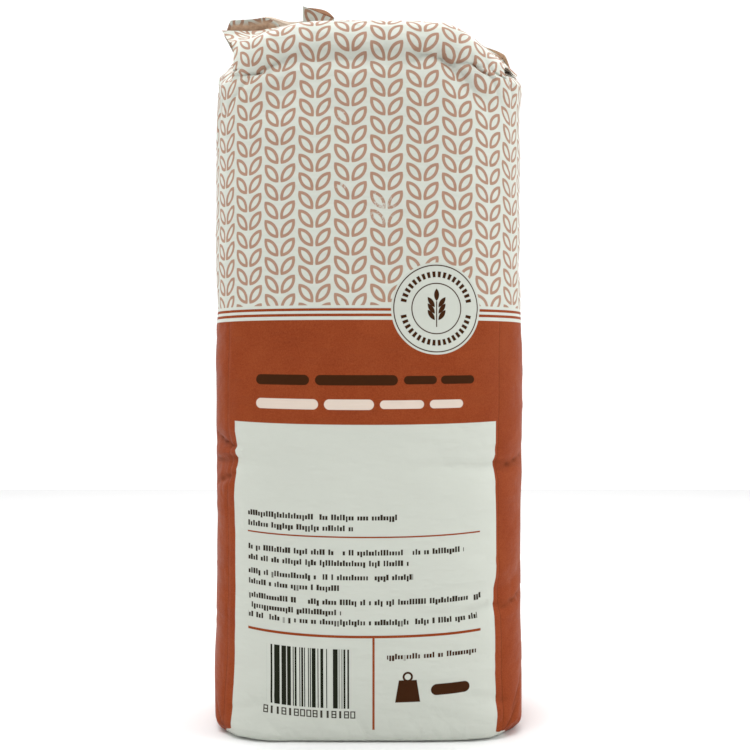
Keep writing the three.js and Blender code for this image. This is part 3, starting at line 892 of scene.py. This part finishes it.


# Inks and paper, and the colours painted as shade.
PAPER = linear(206, 210, 200)
LABEL = linear(201, 205, 195)
ROSE = linear(168, 130, 108)
RUST = linear(132, 56, 28)
RUST_LIGHT = linear(152, 74, 40)
DARK = linear(62, 34, 16)
TEXT = linear(48, 40, 30)
CODE = linear(34, 36, 26)
CREAM = linear(220, 204, 190)
BARE = linear(222, 218, 206)
# The warm tan painted as shade inside the ears.
EAR_SHADE_TAN = linear(208, 174, 144)
# The darker tan painted as shade on the rear layer of the lifted corner.
FOLD_PAPER_IN_SHADE = linear(172, 128, 98)
FOLD_SHADE = linear(92, 40, 16)
EDGE_PAPER = linear(214, 196, 176)

# Noises: (scale, detail, roughness).
MOTTLE = (60.0, 3.0, 0.5)
SPECKLE = (1500.0, 2.0, 0.8)
FLECKS = (620.0, 3.0, 0.7)
STREAKS = (420.0, 2.0, 0.6)
FIBRE = (1400.0, 3.0, 0.5)
CRUMPLE = (48.0, 4.0, 0.6)
WRINKLES = (60.0, 3.0, 0.55)
WRINKLE_STRETCH = (0.3, 0.3, 1)
BARE_MOTTLE = (150.0, 4.0, 0.5)
BASE_MOTTLE = (90.0, 4.0, 0.5)

# The finish of the paper. Gloss grows with the square of the colour's brightness.
ROUGHNESS = 0.32
ROUGH_MOTTLE = 0.16
ROUGH_CRUMPLE = 0.12
ROUGH_WEAR = 0.2
GLOSS = 0.9
INK_GLOSS = 0.03
BUMP_STRENGTH = 0.45
BUMP_DISTANCE = 1.0
BUMP_FIBRE = 0.05
BUMP_CRUMPLE = 1.2
BUMP_WRINKLES = 6.0
FACETS = ((34.0, 6.0, 1.6), (85.0, 5.0, 0.5))  # (scale, slope, height)

# Where the paper is crumpled: near the folds, at the top and at the bottom.
FOLDS_AT = (80.0, 121.0, 162.0)
FOLD_CRUMPLED = 0.4
CRUMPLED_WIDTH = 22.0
CRUMPLED_ABOVE = 330.0
CRUMPLED_FADE = 30.0
CRUMPLED_BELOW = 34.0
CRUMPLED_LEAST = 0.1
CRUMPLED_BARE = 0.5  # everywhere on the unprinted paper

# How evenly the inks cover, how dark the painted shade is in creases, along the seam and in the
# ears, and how the bare paper mottles.
ROSE_COVER = 0.86
ROSE_SPECKLE = 0.2
RUST_SPECKLE = 2.2
RUST_MOTTLE = 0.8
RUST_DARKER = 1.0
BACK_COVER = 0.9
CREASE_SHADE_SHOWS = 0.16
FIELD_CREASE_SHADE = 0.4
SEAM_SHADOW_WIDTH = 0.5
SEAM_SHADOW_SHOWS = 0.45
EAR_DEPTH_SHADE = 0.9
EAR_STREAK_SHADE = 1.2
EAR_LIGHTER = 0.55
EAR_SHADE_SHOWS = 0.7
BARE_SHADE = 0.3
BARE_LIGHTER = 0.07

# The print, in paper millimetres. Lines below the stripes bend up towards the sides.
BEND = 4.0
BEND_AT = 62.0
BEND_LIMIT = 75.0
FIELD_TOP = 221.4
STRIPES = ((223.2, 224.6), (226.0, 227.4))
PATTERN_BOTTOM = 227.4
PATTERN_GAP = 1.5
PATTERN_COLUMNS = 26
PATTERN_PITCH = GIRTH / PATTERN_COLUMNS
PATTERN_ROW = 9.6
GRAIN_SLOPE = 52
GRAIN_OUT = 4.5
GRAIN_HALF_LENGTH = 5.1
GRAIN_HALF_WIDTH = 2.2
PATTERN_LINE = 1.6
BADGE = (35.4, 227.3)
BADGE_RADIUS = 23.8
BADGE_RINGS = (22.4, 13.0)
BADGE_LINE = 0.6
BADGE_WHEAT = 9.5
BADGE_DASHES = 40
DASH_HALF_WIDTH = 0.8
DASH_HALF_LENGTH = 1.5
DASH_GAP = 3.0  # the ring of dashes is open to this height on either side
DARK_WORDS = ((-60.1, -30.8, 5.4), (-27.7, 15.2, 5.4), (18.3, 35.6, 4.4), (37.8, 56.1, 4.4))
DARK_WORDS_AT = 190.2
PALE_WORDS = ((-59.9, -26.1, 5.4), (-23.0, 2.8, 5.4), (5.9, 28.8, 4.4), (31.9, 49.9, 4.4))
PALE_WORDS_AT = 177.6
LABEL_BOX = (-73.9, 70.2, -20.0, 167.2)
LABEL_TAPER = 2.2
LABEL_TAPER_AT = 95.0
LABEL_TAPER_OVER = 35.0
TEXT_LEFT = -64.7
TEXT_ROWS = (
    (118.9, 14.7),
    (113.3, -8.0),
    (100.7, 50.1),
    (95.1, 24.0),
    (87.8, 23.0),
    (82.2, -15.2),
    (74.9, 59.9),
    (69.5, -14.2),
    (64.4, 57.7),
)
TEXT_HEIGHT = 2.1
TEXT_CELL = 1.5
TEXT_WIDTH = 0.85
TEXT_WIDER = 0.4  # what chance adds to a block's width at most
TEXT_SHUFFLE = 9  # draws the width anew from the same chance
TEXT_GAPS = 0.17
TEXT_TALL = 0.66
TEXT_TAIL = 0.27
TEXT_REACH = 0.4  # how far tall blocks and tails reach, as a share of the height
RAGGED = 0.3  # how much shorter lines may be, as a share of a block of print
SURE = 40.0  # scales a chance to a distance that decides a cell
# Each row of random cells has a number of its own.
RAGGED_CELLS = 3.0
DIGIT_CELLS = 30.0
BAR_CELLS = 40.0
BACK_CELLS = 50
RULES = ((-64.7, 59.6, 109.1, 0.8), (-64.7, 59.2, 57.2, 1.4))
POST = (2.6, 7.5, 57.2, 1.2)
BARS = (-53.5, -10.1, 18.8, 50.5)
BAR_CELL = 0.5
BARE_SHARE = 0.5  # share of the cells between the bars
DIGITS = (15.4, -55.76, -6.56)
DIGIT_CELL = 3.28
DIGIT_HEIGHT = 3.4
DIGIT_LINE = 0.6
DIGIT_NARROW = 0.3  # share of the blocks that are narrow
DIGIT_HALF_WIDTHS = (0.25, 1.0)
DIGIT_CROSSED = 0.6  # chance above which a block has a bar across its middle
SMALL_ROW = (46.3, 9.6, 56.6)
WEIGHT = (20.4, 30.0, 8.0)  # its middle and half its height
WEIGHT_BAR = (32.5, 53.0, 28.0, 6.0)

# The shop weight, in shares of half its height.
WEIGHT_HALF_WIDTH = 0.66
WEIGHT_SLOPE = 0.16
WEIGHT_TOP = 0.5
WEIGHT_RING_AT = 0.72
WEIGHT_RING = 0.27
WEIGHT_RING_LINE = 1.1  # millimetres

# An ear of wheat, in shares of its size.
STALK_WIDTH = 0.6  # millimetres
STALK_TOP = 0.4
WHEAT_LEVELS = (-0.35, 0.0, 0.35)
WHEAT_OUT = 0.3
WHEAT_SLOPE = 55
WHEAT_HALF_LENGTH = 0.34
WHEAT_HALF_WIDTH = 0.13
WHEAT_TOP_AT = 0.75
WHEAT_TOP_HALF_WIDTH = 0.14

# Marks of use: where ink is scuffed (s, t, half width, half height). Painted shade: dark lines
# along the fold lines in the field.
SCUFFS = ((7.0, 279.0, 11.0, 11.0), (-14.0, 291.0, 3.5, 4.0), (-14.0, 326.5, 3.0, 4.5))
SCUFF_DEPTH = 1.4
SCUFF_FLECKS = 5
SCUFF_LEVEL = 0.62
SCUFF_SHOWS = 0.8
FIELD_FOLDS = (-80.5, 72.5)
FOLD_SHADE_WIDTH = 0.5
FOLD_LINE_SHADE = 0.35
# Bare paper at the bottom corners, where the label runs under: (s, slope, reach).
CORNER_LEFT = (-88.0, 0.42, 16.0)
CORNER_RIGHT = (84.0, -0.3, 17.0)

# The back, from the middle of the back, and the sides, from the middle of a gusset.
BACK_BOX = (-66.0, 66.0, 26.0, 196.0)
BACK_WORDS = ((-56.0, -14.0, 186.0, 5.0), (-56.0, 4.0, 176.0, 3.6), (-56.0, -20.0, 116.0, 3.6))
BACK_TEXT = (-56.0, 56.0, 124.0, 168.0)
BACK_PITCH = 5.5
TABLE = (-56.0, 56.0, 40.0, 110.0)
TABLE_ROW = 7.0
TABLE_POST = 18.0
TABLE_LINE = 0.5
SIDE_RING_T = 120.0
SIDE_RING_RADIUS = 17.0
SIDE_RING_LINE = 1.0
SIDE_WHEAT = 12.0
SIDE_WORDS = ((-20.0, 20.0, 92.0, 3.6), (-14.0, 14.0, 84.0, 3.6))

# The base: its side flaps and the patch glued over the long ones, with painted shadow lines
# along their edges.
FLAP_FROM = 28.0
FLAP_SHADOW_WIDTH = 0.5
FLAP_SHADOW_SHOWS = 0.5
PATCH = (-60.0, 60.0, -17.0, 17.0)


def attribute(tree, name):
    node = tree.nodes.new("ShaderNodeAttribute")
    node.attribute_name = name
    return node.outputs["Vector"]


def paper_places(tree):
    """s, t and the wear and painted shade at each place."""
    split = tree.nodes.new("ShaderNodeSeparateXYZ")
    tree.links.new(attribute(tree, "paper"), split.inputs[0])
    return [Field(tree, split.outputs[k]) for k in range(3)]


def random_cell(tree, across, up):
    node = tree.nodes.new("ShaderNodeTexWhiteNoise")
    node.noise_dimensions = "2D"
    join = tree.nodes.new("ShaderNodeCombineXYZ")
    feed(tree, across, join.inputs[0])
    feed(tree, up, join.inputs[1])
    tree.links.new(join.outputs[0], node.inputs["Vector"])
    return Field(tree, node.outputs["Value"])


def grain_pattern(s, t):
    """Ears of grain in columns: pairs of outlined grains, each second column half a row up."""
    column = (s / PATTERN_PITCH).floor()
    odd = column.wrap(0, 2)
    x = (s - (column + 0.5) * PATTERN_PITCH).abs() - GRAIN_OUT
    y = (t + odd * (PATTERN_ROW / 2)).wrap(0, PATTERN_ROW) - PATTERN_ROW / 2
    one = grain(x, y, GRAIN_SLOPE, GRAIN_HALF_LENGTH, GRAIN_HALF_WIDTH)
    return outline(one, PATTERN_LINE)


def text_row(tree, s, up, line):
    """Small blocks in groups, standing for a line of small print. up is the height above the
    line's middle, and line tells one line's blocks from another's."""
    cell = (s / TEXT_CELL).floor()
    chance = random_cell(tree, cell, line)
    width = (chance * TEXT_SHUFFLE).wrap(0, 1) * TEXT_WIDER + TEXT_WIDTH
    across = (s - (cell + 0.5) * TEXT_CELL).abs() - width / 2
    half, reach = TEXT_HEIGHT / 2, TEXT_HEIGHT * TEXT_REACH
    rise = (chance - TEXT_TALL).apply("GREATER_THAN", 0) * reach
    fall = (TEXT_TAIL - chance).apply("GREATER_THAN", 0) * reach
    block = (up - half - rise).most(up * -1 - half - fall)
    return across.most(block).most((TEXT_GAPS - chance) * SURE)


def digit_row(tree, s, up):
    """Outlined blocks, some of them narrow, standing for the figures under the bars."""
    cell = (s / DIGIT_CELL).floor()
    chance = random_cell(tree, cell, DIGIT_CELLS)
    narrow, wide = DIGIT_HALF_WIDTHS
    half_width = (chance - DIGIT_NARROW).apply("GREATER_THAN", 0) * (wide - narrow) + narrow
    across = (s - (cell + 0.5) * DIGIT_CELL).abs() - half_width
    box = outline(across.most(up.abs() - DIGIT_HEIGHT / 2), DIGIT_LINE)
    middle = across.most(up.abs() - DIGIT_LINE / 2).most((DIGIT_CROSSED - chance) * SURE)
    return box.least(middle)


def text_rows(tree, s, t, rows, left):
    """Lines of small print that start at left, from (middle, right) of each."""
    shapes = []
    for number, (middle, right) in enumerate(rows):
        row = text_row(tree, s, t - middle, number + 1.0)
        shapes.append(row.most(s * -1 + left).most(s - right))
    return least(shapes)


def text_block(tree, s, t, box, pitch):
    """Lines of small print at an even pitch that fill a box, with a ragged right side."""
    left, right, bottom, top = box
    line = (t / pitch).floor()
    ragged = random_cell(tree, line, RAGGED_CELLS) * (right - left) * RAGGED
    row = text_row(tree, s, (t / pitch).wrap(0, 1) * pitch - pitch / 2, line + BACK_CELLS)
    return row.most(bar(s, t, left, right, bottom, top)).most(s - right + ragged)


def wheat(x, y, size):
    """A small ear: a stalk, three pairs of grains and one on top."""
    shapes = [bar(x, y, -STALK_WIDTH / 2, STALK_WIDTH / 2, -size, size * STALK_TOP)]
    out = x.abs() - size * WHEAT_OUT
    long = size * WHEAT_HALF_LENGTH
    for level in WHEAT_LEVELS:
        shapes.append(grain(out, y - size * level, WHEAT_SLOPE, long, size * WHEAT_HALF_WIDTH))
    shapes.append(grain(x, y - size * WHEAT_TOP_AT, 90, long, size * WHEAT_TOP_HALF_WIDTH))
    return least(shapes)


def badge_marks(s, t):
    """The badge's rings, a ring of dashes between them and a wheat ear in the middle."""
    x, y = s - BADGE[0], t - BADGE[1]
    away = length(x, y)
    rings = [outline(away - radius, BADGE_LINE) for radius in BADGE_RINGS]
    turn = y.apply("ARCTAN2", x) * (BADGE_DASHES / (2 * math.pi))
    middle = sum(BADGE_RINGS) / 2
    along = (turn.wrap(0, 1) - 0.5).abs() * (2 * math.pi * middle / BADGE_DASHES)
    dashes = (along - DASH_HALF_WIDTH).most((away - middle).abs() - DASH_HALF_LENGTH)
    return least([*rings, dashes.most(DASH_GAP - y.abs()), wheat(x, y, BADGE_WHEAT)])


def weight_shape(s, t):
    """A shop weight: a block with sloping sides and a ring on top."""
    x, y = s - WEIGHT[0], t - WEIGHT[1]
    half = WEIGHT[2]
    sides = x.abs() + y * WEIGHT_SLOPE - half * WEIGHT_HALF_WIDTH
    block = sides.most(band(y, -half, half * WEIGHT_TOP))
    away = length(x, y - half * WEIGHT_RING_AT)
    return block.least(outline(away - half * WEIGHT_RING, WEIGHT_RING_LINE))


def code_bars(tree, s, t):
    cell = (s / BAR_CELL).floor()
    dark = (BARE_SHARE - random_cell(tree, cell, BAR_CELLS)) * SURE
    return dark.most(bar(s, t, *BARS))


def label_marks(tree, s, t):
    middle, left, right = DIGITS
    digits = digit_row(tree, s, t - middle).most(s * -1 + left).most(s - right)
    return least([digits, text_rows(tree, s, t, TEXT_ROWS, TEXT_LEFT)])


def label_signs(tree, s, t):
    """The weight and a bar beside it, under a line of small print."""
    middle, left, right = SMALL_ROW
    row = text_rows(tree, s, t, [(middle, right)], left)
    return least([row, weight_shape(s, t), pill(s, t, *WEIGHT_BAR)])


def back_marks(tree, s, t):
    """A block of small print and a table of it."""
    row = (t / TABLE_ROW).wrap(0, 1) * TABLE_ROW - TABLE_ROW / 2
    lines = outline(row, TABLE_LINE).least(outline(s - TABLE_POST, TABLE_LINE))
    inside = bar(s, t, *TABLE)
    small = text_block(tree, s, t, BACK_TEXT, BACK_PITCH)
    words = [pill(s, t, *word) for word in BACK_WORDS]
    return least([lines.most(inside), outline(inside, TABLE_LINE), small, *words])


def side_marks(s, t):
    """A ring round an ear of grain, with two bars below, on each gusset."""
    up = t - SIDE_RING_T
    ring = outline(length(s, up) - SIDE_RING_RADIUS, SIDE_RING_LINE)
    words = [pill(s, t, *word) for word in SIDE_WORDS]
    return least([ring, wheat(s, up, SIDE_WHEAT), *words])


def rules(s, t):
    left, bottom, top, width = POST
    shapes = [bar(s, t, a, b, at - w / 2, at + w / 2) for a, b, at, w in RULES]
    shapes.append(bar(s, t, left - width / 2, left + width / 2, bottom, top))
    return least(shapes)


def scuffed(tree, s, t, places):
    """How much ink is rubbed off, in flecks round the scuffed spots."""
    flecks = (noise(tree, places, *FLECKS) - SCUFF_LEVEL) * SCUFF_FLECKS
    spots = [length((s - a) / wide, (t - b) / high) for a, b, wide, high in SCUFFS]
    return ((1 - least(spots)) * SCUFF_DEPTH + flecks).clamped() * SCUFF_SHOWS


def corner_paper(s, t):
    """The two wedges of bare paper at the bottom of the front, as a signed distance."""
    wedges = []
    for start, slope, reach in (CORNER_LEFT, CORNER_RIGHT):
        along = (s - start) * math.copysign(1, slope)
        wedges.append((t - along * abs(slope)).most(along * -1).most(along - reach))
    return least(wedges)


def facets(tree, places, scale, slope):
    """Flat facets with sharp creases between them, 0 in a crease and up to 1 away from it."""
    node = tree.nodes.new("ShaderNodeTexVoronoi")
    node.feature = "DISTANCE_TO_EDGE"
    node.inputs["Scale"].default_value = scale
    tree.links.new(places, node.inputs["Vector"])
    return (Field(tree, node.outputs["Distance"]) * slope).clamped()


def paper_finish(tree, shader, places, wear_and_shade, crumpled):
    """Gloss, roughness and bump of satin paper: fibre, facets where it is crumpled, and
    dulled creases. Dark ink is duller than the paper."""
    mottle = noise(tree, places, *MOTTLE)
    fibre = noise(tree, places, *FIBRE)
    crumple = noise(tree, places, *CRUMPLE)
    stretched = tree.nodes.new("ShaderNodeVectorMath")
    stretched.operation = "MULTIPLY"
    stretched.inputs[1].default_value = WRINKLE_STRETCH
    tree.links.new(places, stretched.inputs[0])
    wrinkles = noise(tree, stretched.outputs[0], *WRINKLES)
    uneven = mottle * ROUGH_MOTTLE + crumple * ROUGH_CRUMPLE + wear_and_shade * ROUGH_WEAR
    feed(tree, (uneven + ROUGHNESS).clamped(), shader.inputs["Roughness"])
    brightness = tree.nodes.new("ShaderNodeRGBToBW")
    tree.links.new(shader.inputs["Base Color"].links[0].from_socket, brightness.inputs[0])
    bright = Field(tree, brightness.outputs[0])
    feed(tree, bright * bright * GLOSS + INK_GLOSS, shader.inputs["Specular IOR Level"])
    large, small = [facets(tree, places, scale, slope) * high for scale, slope, high in FACETS]
    height = fibre * BUMP_FIBRE + crumple * BUMP_CRUMPLE + wrinkles * BUMP_WRINKLES
    bump = tree.nodes.new("ShaderNodeBump")
    bump.inputs["Strength"].default_value = BUMP_STRENGTH
    bump.inputs["Distance"].default_value = BUMP_DISTANCE * MM
    feed(tree, height + (large + small) * crumpled, bump.inputs["Height"])
    tree.links.new(bump.outputs["Normal"], shader.inputs["Normal"])


def new_material(name):
    """(material, its node tree, its shader, places in metres for its noises)."""
    material = bpy.data.materials.new(name)
    material.use_nodes = True
    tree = material.node_tree
    places = tree.nodes.new("ShaderNodeTexCoord").outputs["Object"]
    return material, tree, tree.nodes["Principled BSDF"], places


def printed_paper():
    material, tree, shader, places = new_material("printed_paper")
    s, t, wear_and_shade = paper_places(tree)
    bend = (s.abs().least(BEND_LIMIT) / BEND_AT).apply("POWER", 2.0)
    bent = t - bend * BEND * (1 - t / PATTERN_BOTTOM).most(0)
    back = s - GIRTH / 2
    side = (s + GIRTH / 4).wrap(-GIRTH / 4, GIRTH / 4)

    mottle = noise(tree, places, *MOTTLE)
    speckle = noise(tree, places, *SPECKLE)
    kept = 1 - scuffed(tree, s, t, places)
    rose = inked(grain_pattern(s, t)) * inked(PATTERN_BOTTOM + PATTERN_GAP - t) * kept
    colour = painted(tree, PAPER, ROSE, rose * (speckle * ROSE_SPECKLE + ROSE_COVER))
    lighter = (speckle * RUST_SPECKLE + mottle * RUST_MOTTLE - RUST_DARKER).clamped()
    rust = painted(tree, RUST, RUST_LIGHT, lighter)
    stripes = [band(t, low, high) for low, high in STRIPES]
    colour = painted(tree, colour, rust, inked(least([t - FIELD_TOP, *stripes])))
    # Painted shade: dark lines along the fold lines in the field.
    fold_shade_lines = least([(s - at).abs() for at in FIELD_FOLDS]) - FOLD_SHADE_WIDTH / 2
    colour = painted(tree, colour, DARK, inked(fold_shade_lines.most(t - FIELD_TOP)) * FOLD_LINE_SHADE)
    # Painted shade: dark lines along the deeper creases, darker in the rust field.
    crease_shade = inked(t - FIELD_TOP) * (FIELD_CREASE_SHADE - CREASE_SHADE_SHOWS) + CREASE_SHADE_SHOWS
    colour = painted(tree, colour, DARK, wear_and_shade.least(1) * crease_shade)

    def words(rows, at):
        return least([pill(s, bent, left, right, at, height) for left, right, height in rows])

    taper = ((LABEL_TAPER_AT - bent) / LABEL_TAPER_OVER).clamped() * LABEL_TAPER
    label = bar(s, bent, *LABEL_BOX).most(s - LABEL_BOX[1] + taper)
    for ink, shape in (
        (LABEL, disc(s, t, BADGE, BADGE_RADIUS)),
        (DARK, badge_marks(s, t)),
        (DARK, words(DARK_WORDS, DARK_WORDS_AT)),
        (CREAM, words(PALE_WORDS, PALE_WORDS_AT)),
        (LABEL, least([label, bar(back, t, *BACK_BOX), corner_paper(s, t)])),
        (TEXT, label_marks(tree, s, bent)),
        (CODE, code_bars(tree, s, bent)),
        (DARK, label_signs(tree, s, bent)),
        (rust, rules(s, bent)),
    ):
        colour = painted(tree, colour, ink, inked(shape))
    colour = painted(tree, colour, DARK, inked(back_marks(tree, back, t)) * BACK_COVER)
    colour = painted(tree, colour, CREAM, inked(side_marks(side, t)))

    # A painted shadow line along the edge of the glued seam.
    seam_shadow = (s.wrap(0, GIRTH) - SEAM_S).abs() - SEAM_SHADOW_WIDTH / 2
    colour = painted(tree, colour, FOLD_SHADE, inked(seam_shadow) * SEAM_SHADOW_SHOWS)
    # Painted shade in the ears: warm tan over the print, darker deeper down and in streaks.
    deep = (wear_and_shade - EAR_SHADE_MARK).clamped() * EAR_DEPTH_SHADE
    streaks = noise(tree, places, *STREAKS) * EAR_STREAK_SHADE
    shaded = (deep + streaks - EAR_LIGHTER).clamped() * EAR_SHADE_SHOWS
    inside = ((wear_and_shade - 1) / (EAR_SHADE_MARK - 1)).clamped()
    colour = painted(tree, colour, painted(tree, EAR_SHADE_TAN, FOLD_SHADE, shaded), inside)
    tree.links.new(colour, shader.inputs["Base Color"])
    near_fold = 1 - least([(s.abs() - at).abs() for at in FOLDS_AT]) / CRUMPLED_WIDTH
    near_top = (t - CRUMPLED_ABOVE) / CRUMPLED_FADE
    near_base = 1 - t / CRUMPLED_BELOW
    crumpled = (near_fold * FOLD_CRUMPLED).most(near_top).most(near_base).clamped()
    crumpled = crumpled * (1 - CRUMPLED_LEAST) + CRUMPLED_LEAST
    paper_finish(tree, shader, places, wear_and_shade.least(1), crumpled)
    return material


def bare_paper(name, colour):
    """Unprinted paper, shaded where its third place value nears 1."""
    material, tree, shader, places = new_material(name)
    deep = paper_places(tree)[2]
    mottle = noise(tree, places, *BARE_MOTTLE)
    paper = painted(tree, colour, FOLD_SHADE, (mottle * BARE_SHADE - BARE_LIGHTER).clamped())
    paper = painted(tree, paper, FOLD_SHADE, deep.clamped())
    tree.links.new(paper, shader.inputs["Base Color"])
    paper_finish(tree, shader, places, deep, CRUMPLED_BARE)
    return material


def base_paper():
    """The block bottom: two side flaps, and a patch glued over the long ones, with thin lines of
    painted shadow along their edges. Its places are x and y on the base."""
    material, tree, shader, places = new_material("base_paper")
    x, y, wear_and_shade = paper_places(tree)
    flap = y.abs() - x.abs() + FLAP_FROM
    patch = bar(x, y, *PATCH)
    colour = painted(tree, LABEL, BARE, noise(tree, places, *BASE_MOTTLE).clamped())
    colour = painted(tree, colour, RUST, inked(flap))
    colour = painted(tree, colour, BARE, inked(patch))
    # Painted shadow lines along the edges of the flaps and the patch.
    flap_shadows = least([outline(flap.most(patch * -1), FLAP_SHADOW_WIDTH), outline(patch, FLAP_SHADOW_WIDTH)])
    colour = painted(tree, colour, FOLD_SHADE, inked(flap_shadows) * FLAP_SHADOW_SHOWS)
    tree.links.new(colour, shader.inputs["Base Color"])
    paper_finish(tree, shader, places, wear_and_shade, CRUMPLED_BARE)
    return material


# The studio: camera, floor and lights.
CAMERA_DISTANCE = 0.63  # from the middle of the bag
CAMERA_HEIGHT = 0.1945
SENSOR_WIDTH = 36
FRAME_PIXELS = 750
FOCAL_PIXELS = 1107
CENTRE_PIXELS = (368.5, 372)  # where the camera's axis meets the photograph
FLOOR_SIZE = 2.4
FLOOR_COLOUR = (0.9, 0.9, 0.9, 1)
FLOOR_ROUGHNESS = 0.9
BACK_LIGHT = 1.15
FRONT_LIGHT = 0.2
BACK_SPREAD = 0.3
# Soft boxes: (name, place, target, size, power).
LIGHTS = (
    ("top_light", (0.0, 0.25, 1.25), (0, 0, 0), (2.4, 2.0), 20.0),
    ("key_light", (-0.25, -0.6, 1.15), (0, 0, 0.25), (0.5, 0.4), 4.8),
    ("left_light", (-0.9, -0.75, 0.75), (0, 0, 0.22), (0.7, 0.9), 2.4),
    ("right_light", (1.1, -0.35, 0.5), (0, 0, 0.2), (0.6, 1.0), 5.5),
)


def studio():
    camera = bpy.data.objects.new("camera", bpy.data.cameras.new("camera"))
    camera.location = (0, -CAMERA_DISTANCE, CAMERA_HEIGHT)
    camera.rotation_euler = (math.radians(90), 0, 0)
    camera.data.sensor_width = SENSOR_WIDTH
    camera.data.lens = SENSOR_WIDTH * FOCAL_PIXELS / FRAME_PIXELS
    camera.data.shift_x = (FRAME_PIXELS / 2 - CENTRE_PIXELS[0]) / FRAME_PIXELS
    camera.data.shift_y = (CENTRE_PIXELS[1] - FRAME_PIXELS / 2) / FRAME_PIXELS
    bpy.context.scene.collection.objects.link(camera)
    bpy.context.scene.camera = camera

    bpy.ops.mesh.primitive_plane_add(size=FLOOR_SIZE, location=(0, 0, 0))
    floor = bpy.context.object
    floor.name = "floor"
    floor.data.materials.append(floor_paint())

    bpy.context.scene.world = surroundings()
    bpy.context.scene.view_settings.view_transform = "Standard"
    for light in LIGHTS:
        soft_box(*light)


def floor_paint():
    material = bpy.data.materials.new("floor_white")
    material.use_nodes = True
    shader = material.node_tree.nodes["Principled BSDF"]
    shader.inputs["Base Color"].default_value = FLOOR_COLOUR
    shader.inputs["Roughness"].default_value = FLOOR_ROUGHNESS
    return material


def surroundings():
    """A plain studio all round: white behind the bag and dimmer where the camera stands."""
    world = bpy.data.worlds.new("studio")
    world.use_nodes = True
    tree = world.node_tree
    split = tree.nodes.new("ShaderNodeSeparateXYZ")
    places = tree.nodes.new("ShaderNodeTexCoord").outputs["Generated"]
    tree.links.new(places, split.inputs[0])
    behind = Field(tree, split.outputs[1]).apply("ADD", BACK_SPREAD, clamp=True)
    background = tree.nodes["Background"]
    background.inputs["Color"].default_value = (1, 1, 1, 1)
    strength = behind * (BACK_LIGHT - FRONT_LIGHT) + FRONT_LIGHT
    feed(tree, strength, background.inputs["Strength"])
    return world


def soft_box(name, place, target, size, power):
    lamp = bpy.data.lights.new(name, "AREA")
    lamp.shape = "RECTANGLE"
    lamp.size, lamp.size_y = size
    lamp.energy = power
    light = bpy.data.objects.new(name, lamp)
    light.location = place
    aim = light.location - Vector(target)
    light.rotation_euler = aim.to_track_quat("Z", "Y").to_euler()
    bpy.context.scene.collection.objects.link(light)


paper = printed_paper()
edge_paper = bare_paper("edge_paper", EDGE_PAPER)
# Unprinted paper in a darker tan, painted as the shade inside the lifted corner's fold.
shaded_fold_paper = bare_paper("shaded_fold_paper", FOLD_PAPER_IN_SHADE)
bag_skin(paper, edge_paper, base_paper())
closing_fold(paper, edge_paper)
lifted_corner(paper, edge_paper, shaded_fold_paper)
studio()
